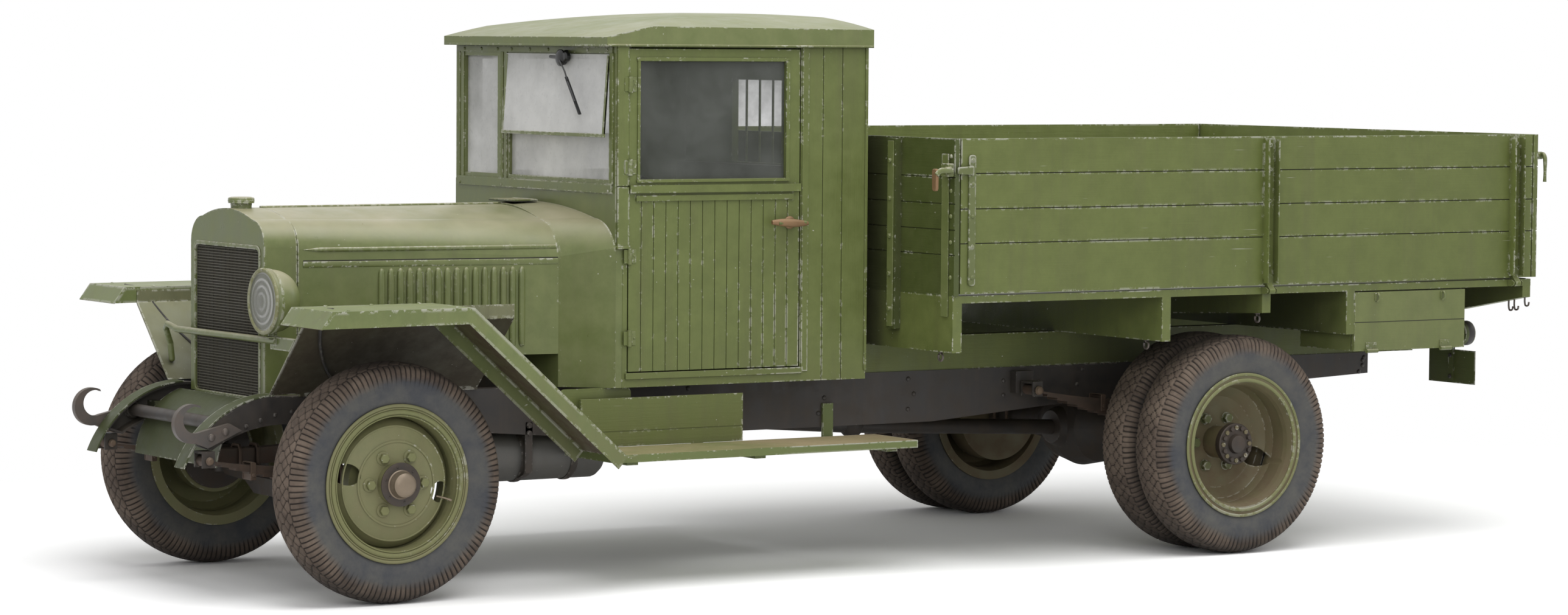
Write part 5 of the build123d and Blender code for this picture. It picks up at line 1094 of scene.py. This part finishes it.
def toolbox_trim():
    """Hook plates, turn hooks and strap hinges of the side toolbox, and a painted shade line in the gap under its
    lid.
    """
    lid = []
    for x in (-4460, -4820):
        lid.append(plate(strip(26, 34, 5), 4, spot(x, 1150, 1050), LEFT))
        hook = bend(((x, 1156, 1066), (x, 1164, 1056), (x, 1164, 1040), (x + 6, 1158, 1030)), 12)
        lid.append(tube(hook, 4, steps=10, level=FORWARD))
    for x in (-4429, -4835):
        lid.append(plate(strip(58, 30, 4), 3.5, spot(x, 1150, 846), LEFT))
        lid.append(revolve(((-30, 0), (-30, 8.6), (30, 8.6), (30, 0)), spot(x, 1158, 826), FORWARD, 18))
        lid += [rivet(spot(x + dx, 1153, 850), LEFT, 4.5, 2) for dx in (-18, 18)]
    piece("toolbox_fittings", lid, "body", "toolbox_lid")
    # Painted shade: a near black strip in the gap under the lid draws its shadow line.
    seam = plate(strip(600, 3, 0.8), 1.0, spot(-4642, 1149.6, 946), LEFT, edge=0.2)
    piece("toolbox_seam", seam, "gap", "toolbox_lid")


def plate_and_lamp():
    """Bolted bracket of the blank rear plate, and the tail lamp's body and lens."""
    bracket = [plate(strip(30, 306, 5), 4, spot(-5203, 785, 805), BACK)]
    bracket += [hex_nut(spot(x, 785, z), (turn, 0, 0), 15, 8, 9) for x, turn in ((-5207, -1), (-5194, 1))
                for z in (668, 760, 930)]
    shell = ((0, 0), (0, 40), (8, 50), (30, 53.5), (50, 53.5), (56, 50), (57, 44), (55, 0))
    shell = revolve(shell, spot(-5149, 880, 862), BACK, 40)
    piece("tail_lamp_body", [*bracket, shell], "black")
    lens = revolve(((0, 43), (4, 42), (9, 30), (11, 0), (1, 0)), spot(-5204, 880, 862), BACK, 36)
    piece("tail_lamp_lens", lens, "red")


# ---- chassis ----
# The front and the rear spring pins' caps: (out, radius) in mm, stations, y, half length and height.
SPRING_PINS = (
    (((0, 0), (0, 15.5), (3, 15.5), (6, 13), (11, 12.5), (14, 9), (15, 0)), (591, -559), 430, 44, 532),
    (((0, 0), (0, 19), (4, 19), (8, 16), (12, 15), (16, 9), (17, 0)), (-3140, -4480), 520, 50, 666),
)


def frame_fittings():
    """Rivets along the rails, caps of the spring pins, spring clips, U-bolts and the flange of the front tube."""
    heads, caps, straps = [], [], []
    for s in BOTH:
        for x, count in ((-1500, 3), (-2560, 3), (-3420, 2), (-4400, 2), (-4960, 2), (-2120, 2), (-4120, 2)):
            # The rails' underside rises towards the rear, so their lowest rivets sit 72 mm higher there.
            low = 672 if x < -3000 else 600
            places = [(x - 20 - 28 * (k % 2), s * 430, low + 62 * k) for k in range(count)]
            heads += [rivet(spot(*place), (0, s, 0), 10, 6) for place in places]
        for x, z in ((230, 700), (300, 690), (360, 672), (420, 652), (150, 712), (-960, 720), (-960, 600),
                     (-1230, 660), (-3060, 700), (-3060, 640), (-3240, 690), (-5000, 722), (-5000, 700)):
            heads.append(rivet(spot(x, s * 430, z), (0, s, 0), 9.5, 6))
        caps += [revolve(profile, spot(x, s * y + end * half, z), (0, end, 0), 24)
                 for profile, stations, y, half, z in SPRING_PINS for x in stations for end in BOTH]
        for x, y, z, half, tall in ((407, 430, 486, 32, 66), (-380, 430, 486, 32, 66), (-3480, 520, 602, 40, 70),
                                    (-4140, 520, 602, 40, 70)):
            straps += [plate(strip(22, tall, 4), 4, spot(x, s * y + end * half, z), (0, end, 0)) for end in BOTH]
            top = spot(x, s * y + np.array((-1, 0, 1)) * (half + 3), z + tall / 2 - 2)
            straps.append(tube(top, 9, 3.5, 10))
            straps += [hex_nut(spot(x, s * y + end * (half + 4), z - 14), (0, end, 0), 14, 7, 0) for end in BOTH]
        for x, y, half, top, foot in ((38, 430, 36, 497, 398), (-38, 430, 36, 497, 398), (-3735, 520, 45, 614, 400),
                                      (-3885, 520, 45, 614, 400)):
            # A round bar bent to an upside-down U: two legs and rounded shoulders.
            out, z = np.array(((-1, foot), (-1, top - 30), (-0.97, top - 12), (-0.72, top), (0.72, top),
                               (0.97, top - 12), (1, top - 30), (1, foot))).T
            straps.append(tube(spot(x, s * y + half * out, z), 7.5, steps=10, level=FORWARD))
            straps += [hex_nut(spot(x, s * y + end * half, foot + 14), DOWN, 20, 12, 13, up=FORWARD)
                       for end in BOTH]
    collar = [revolve(((0, 0), (0, 38), (6, 38), (9, 34), (16, 30), (16, 0)), spot(490, s * 421, 657), (0, -s, 0), 32)
              for s in BOTH]
    bolts = [hex_nut(spot(490 + 30 * np.cos(a), s * 413, 657 + 30 * np.sin(a)), (0, -s, 0), 12, 6, 0)
             for s in BOTH for a in (0.8, 2.4, 3.9, 5.5)]
    piece("rail_rivets", heads + collar + bolts, "black")
    piece("spring_pins", caps, "pin")
    piece("spring_clips", straps, "clip")


def hook_bolts():
    """The domed heads of two big bolts through each tow hook's shank."""
    head = ((0, 0), (0, 15), (3, 15), (5, 13), (9, 12), (11, 8), (12, 0))
    parts = [revolve(head, spot(x, s * 456, z), (0, s, 0), 28) for s in BOTH for x, z in ((518, 637), (576, 618))]
    piece("hook_bolts", parts, "steel")


def undercab_parts():
    """Air drum with two straps and its hanger behind the front wheel, and the splash boards' rivets."""
    parts = []
    middle = spot(-870, 300, 478)
    end = np.array(((0, 0), (4, 50), (14, 80), (34, 95), (44, 98)))
    drum = revolve(np.vstack([end - (310, 0), end[::-1] * (-1, 1) + (310, 0)]), middle, FORWARD, 56)
    a = np.linspace(0, 2 * np.pi, 44, endpoint=False)
    for x in (-150, 75):
        ring = np.stack([0 * a + x, 101 * np.sin(a), 101 * np.cos(a)], 1) * MM + middle
        parts.append(loop(ring, 3, 15, FORWARD, 8))
    parts.append(plate(strip(34, 200, 6), 6, spot(-795, 424, 520), LEFT, edge=1.5))
    parts += [hex_nut(spot(-795, 430, z), LEFT, 20, 10, 12) for z in (575, 606)]
    parts.append(tube(bend(((-795, 426, 430), (-795, 400, 408), (-795, 350, 392), (-795, 300, 378)), 14), 14, 4, 10))
    piece("air_drum", drum, "drum")
    piece("air_drum_straps", parts, "black")
    pins = [rivet(spot(x, s * 604, z), (0, s, 0), 7, 4) for s in BOTH for x, z in ((-880, 690), (-1120, 692))]
    piece("splash_rivets", pins, "body")


# ---- settings ----
class TruckTyreSettings(PropertyGroup):
    columns: IntProperty(name="Columns", description="Points round each front tyre", default=1024, min=64)
    rows: IntProperty(name="Rows", description="Points across half of each tyre", default=38, min=12)


class TruckFittingSettings(PropertyGroup):
    wires: IntProperty(name="Grille wires", description="Upright wires of the radiator mesh", default=52, min=8)
    louvres: IntProperty(name="Louvres", description="Louvres on each side of the hood", default=16, min=1)


class TruckStageSettings(PropertyGroup):
    lens: FloatProperty(name="Lens", description="Focal length of the camera", default=102.9, unit="CAMERA")
    ambient: FloatProperty(name="Ambient", description="Strength of the soft light from all round", default=AMBIENT)
    floor: FloatVectorProperty(name="Floor", description="Colour of the studio floor", subtype="COLOR", size=4,
                               default=linear("#cfcfcf"))


# ---- operators ----
class TruckPaintNodes(Operator):
    """Paints every CAD node that stays in sight"""

    bl_idname = "truck.paint_nodes"
    bl_label = "Paint the frame"

    def execute(self, context):
        for name, nodes in NODE_PAINT.items():
            for key in nodes:
                mesh = NODES[key].data
                mesh.materials.clear()
                mesh.materials.append(paint(name))
        return {"FINISHED"}


class TruckTyres(Operator):
    """Makes the six tyres with their tread"""

    bl_idname = "truck.tyres"
    bl_label = "Tyres"

    def execute(self, context):
        sizes = context.scene.truck_tyres
        for side, s in SIDES:
            tyre(f"tread_front_{side}", f"tyre_front_{side}", f"wheel_front_{side}",
                 [(FRONT_AXLE_X, s * 0.755, AXLE_Z)], sizes.columns, sizes.rows)
            tyre(f"tread_rear_{side}", f"tyres_rear_{side}", f"wheels_rear_{side}",
                 [(REAR_AXLE_X, s * 1.000, AXLE_Z), (REAR_AXLE_X, s * 0.775, AXLE_Z)], sizes.columns * 3 // 4,
                 sizes.rows * 3 // 4)
        return {"FINISHED"}


class TruckWheelFittings(Operator):
    """Adds nuts, rings, hubs and caps to the wheels"""

    bl_idname = "truck.wheel_fittings"
    bl_label = "Wheel fittings"

    def execute(self, context):
        for side, s in SIDES:
            wheel_trim(side, s)
            rear_trim(side, s)
        return {"FINISHED"}


class TruckNose(Operator):
    """Adds the hood's bead, seams and louvres, the grille mesh and the nose's fittings"""

    bl_idname = "truck.nose"
    bl_label = "Nose"

    def execute(self, context):
        sizes = context.scene.truck_fittings
        for side, s in SIDES:
            hood_trim(side, s, sizes.louvres)
        radiator_mesh(sizes.wires)
        nose_fittings()
        return {"FINISHED"}


class TruckLamp(Operator):
    """Makes the single head lamp in place of its CAD node"""

    bl_idname = "truck.lamp"
    bl_label = "Head lamp"

    def execute(self, context):
        head_lamp()
        return {"FINISHED"}


class TruckCab(Operator):
    """Adds the cab's battens, screws, beads, flap frame and wiper"""

    bl_idname = "truck.cab"
    bl_label = "Cab fittings"

    def execute(self, context):
        cab_trim()
        wiper_set()
        return {"FINISHED"}


class TruckDoors(Operator):
    """Adds hinges, beads and handles to the doors"""

    bl_idname = "truck.doors"
    bl_label = "Door fittings"

    def execute(self, context):
        for side, s in SIDES:
            door_trim(side, s)
        return {"FINISHED"}


class TruckSeats(Operator):
    """Makes the oilcloth bench and back pads"""

    bl_idname = "truck.seats"
    bl_label = "Seats"

    def execute(self, context):
        seats()
        return {"FINISHED"}


class TruckBed(Operator):
    """Adds irons, bolts, latches, hooks, toolbox fittings and the rear plate's bracket"""

    bl_idname = "truck.bed"
    bl_label = "Bed fittings"

    def execute(self, context):
        for side, s in SIDES:
            bed_irons(side, s)
            front_latch(side, s)
            rear_crank(side, s)
        bed_fittings()
        toolbox_trim()
        plate_and_lamp()
        return {"FINISHED"}


class TruckChassis(Operator):
    """Adds rivets, pins, clips, hook bolts and the air drum to the chassis"""

    bl_idname = "truck.chassis"
    bl_label = "Chassis fittings"

    def execute(self, context):
        frame_fittings()
        hook_bolts()
        undercab_parts()
        return {"FINISHED"}


# Place in metres and direction of the camera.
CAMERA_PLACE = (10.1662, 15.4690, 2.1127)
CAMERA_FORWARD = (-0.54159, -0.83849, -0.06013)
# Roll in radians, and the shift of the lens as shares of the picture's width.
CAMERA_ROLL = 0.0072
CAMERA_SHIFT = (0.01243, 0.00023)
# Name, place, disc diameter in metres and power in watts of each soft lamp.
LAMPS = (
    ("light_overhead", (1.0, 3.0, 9.0), 9.0, 520.0),
    ("light_side", (7.0, 11.0, 5.0), 6.0, 265.0),
    ("light_rear", (-8.0, 2.0, 6.0), 6.0, 125.0),
)
LAMPS_AIM = Vector((-0.3, 0.0, 0.8))


def camera_turn():
    """Rotation whose -Z is the camera's forward: right is forward x up, turned about forward by the roll."""
    forward = unit(CAMERA_FORWARD)
    right = unit(np.cross(forward, UP))
    up = np.cross(right, forward)
    c, s = math.cos(CAMERA_ROLL), math.sin(CAMERA_ROLL)
    right, up = c * right + s * up, -s * right + c * up
    return Matrix(np.stack([right, up, -forward], 1).tolist()).to_quaternion()


def background_rays(tree):
    """1 for camera, glossy and transmission rays, else 0: the largest of the three."""
    rays = [wire(tree, "LightPath", out=f"Is {kind} Ray") for kind in ("Camera", "Glossy", "Transmission")]
    seen = wire(tree, "Math", {0: rays[0], 1: rays[1]}, operation="MAXIMUM")
    return wire(tree, "Math", {0: seen, 1: rays[2]}, operation="MAXIMUM")


# Half length and half width in metres of the oval of floor that shows the truck's shadow.
FLOOR_OVAL = (4.3, 2.7)


def floor_paint(pale):
    """Matt pale studio paper: plain under and near the truck, so that it holds the shadow, and white beyond an
    oval round it."""
    material, add, _, place = blank("studio_paper")
    tree = material.node_tree
    seen = background_rays(tree)
    lifted = [channel * FLOOR_LIFT for channel in pale[:3]] + [1.0]
    shade = add("Mix", {0: seen, 6: tuple(pale), 7: lifted}, **COLOURS)
    paper = add("BsdfDiffuse", {"Color": shade})
    white = add("Emission", {"Color": (1.0, 1.0, 1.0, 1.0), "Strength": 1.0})
    oval = (1 / FLOOR_OVAL[0], 1 / FLOOR_OVAL[1], 0.0)
    away = add("VectorMath", {0: place, 1: oval}, operation="MULTIPLY")
    away = add("VectorMath", {0: away}, out="Value", operation="LENGTH")
    far = add("MapRange", {0: away, 1: 0.95, 2: 1.6}, interpolation_type="SMOOTHSTEP")
    share = add("Math", {0: far, 1: seen}, operation="MULTIPLY")
    both = add("MixShader", {0: share, 1: paper, 2: white})
    tree.links.new(both, next(n for n in tree.nodes if n.type == "OUTPUT_MATERIAL").inputs["Surface"])
    return material


class TruckStage(Operator):
    """Sets the floor, the soft lights, the world and the camera"""

    bl_idname = "truck.stage"
    bl_label = "Stage"

    def execute(self, context):
        settings = context.scene.truck_stage
        scene = context.scene
        scene.view_settings.view_transform = "Standard"
        # A square lattice whose lines draw together towards the middle: sign(t) * t^2 * 60 m.
        t = np.linspace(-1, 1, 41)
        x, y = np.meshgrid(np.sign(t) * t**2 * 60, np.sign(t) * t**2 * 60, indexing="ij")
        mesh = bpy.data.meshes.new("studio_floor")
        mesh.from_pydata(np.stack([x, y, 0 * x], -1).reshape(-1, 3).tolist(), [], lattice_faces(41, 41).tolist())
        mesh.materials.append(floor_paint(settings.floor))
        floor = put("studio_floor", mesh)
        for name, place, size, power in LAMPS:
            lamp = bpy.data.lights.new(name, "AREA")
            lamp.shape = "DISK"
            lamp.size = size
            lamp.energy = power
            made = put(name, lamp)
            made.location = place
            made.rotation_euler = (LAMPS_AIM - Vector(place)).to_track_quat("-Z", "Y").to_euler()
        world = bpy.data.worlds.new("studio_world")
        scene.world = world
        world.use_nodes = True
        tree = world.node_tree
        level = wire(tree, "MapRange", {0: background_rays(tree), 3: settings.ambient})
        sky = next(n for n in tree.nodes if n.type == "BACKGROUND")
        sky.inputs["Color"].default_value = (1.0, 1.0, 1.0, 1.0)
        tree.links.new(level, sky.inputs["Strength"])
        lens = bpy.data.cameras.new("camera")
        lens.sensor_width = 36.0
        lens.lens = settings.lens
        lens.shift_x, lens.shift_y = CAMERA_SHIFT
        camera = put("camera", lens)
        camera.location = CAMERA_PLACE
        camera.rotation_mode = "QUATERNION"
        camera.rotation_quaternion = camera_turn()
        scene.camera = camera
        return {"FINISHED"}


STEPS = (TruckPaintNodes, TruckTyres, TruckWheelFittings, TruckNose, TruckLamp, TruckCab, TruckDoors, TruckSeats,
         TruckBed, TruckChassis, TruckStage)
SETTINGS = (("truck_tyres", TruckTyreSettings), ("truck_fittings", TruckFittingSettings),
            ("truck_stage", TruckStageSettings))


class TruckPanel(Panel):
    """Lists the truck's steps in the 3D view's sidebar"""

    bl_idname = "VIEW3D_PT_truck"
    bl_label = "Truck"
    bl_space_type = "VIEW_3D"
    bl_region_type = "UI"
    bl_category = "Truck"

    def draw(self, context):
        for step in STEPS:
            self.layout.operator(step.bl_idname)


def register():
    for kind in [k for _, k in SETTINGS] + list(STEPS) + [TruckPanel]:
        bpy.utils.register_class(kind)
    for name, kind in SETTINGS:
        setattr(bpy.types.Scene, name, PointerProperty(type=kind))


def unregister():
    for name, _ in SETTINGS:
        delattr(bpy.types.Scene, name)
    for kind in [TruckPanel] + list(STEPS) + [k for _, k in SETTINGS]:
        bpy.utils.unregister_class(kind)


def main():
    register()
    for step in STEPS:
        group, name = step.bl_idname.split(".")
        getattr(getattr(bpy.ops, group), name)()
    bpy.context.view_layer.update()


if __name__ == "__main__":
    main()
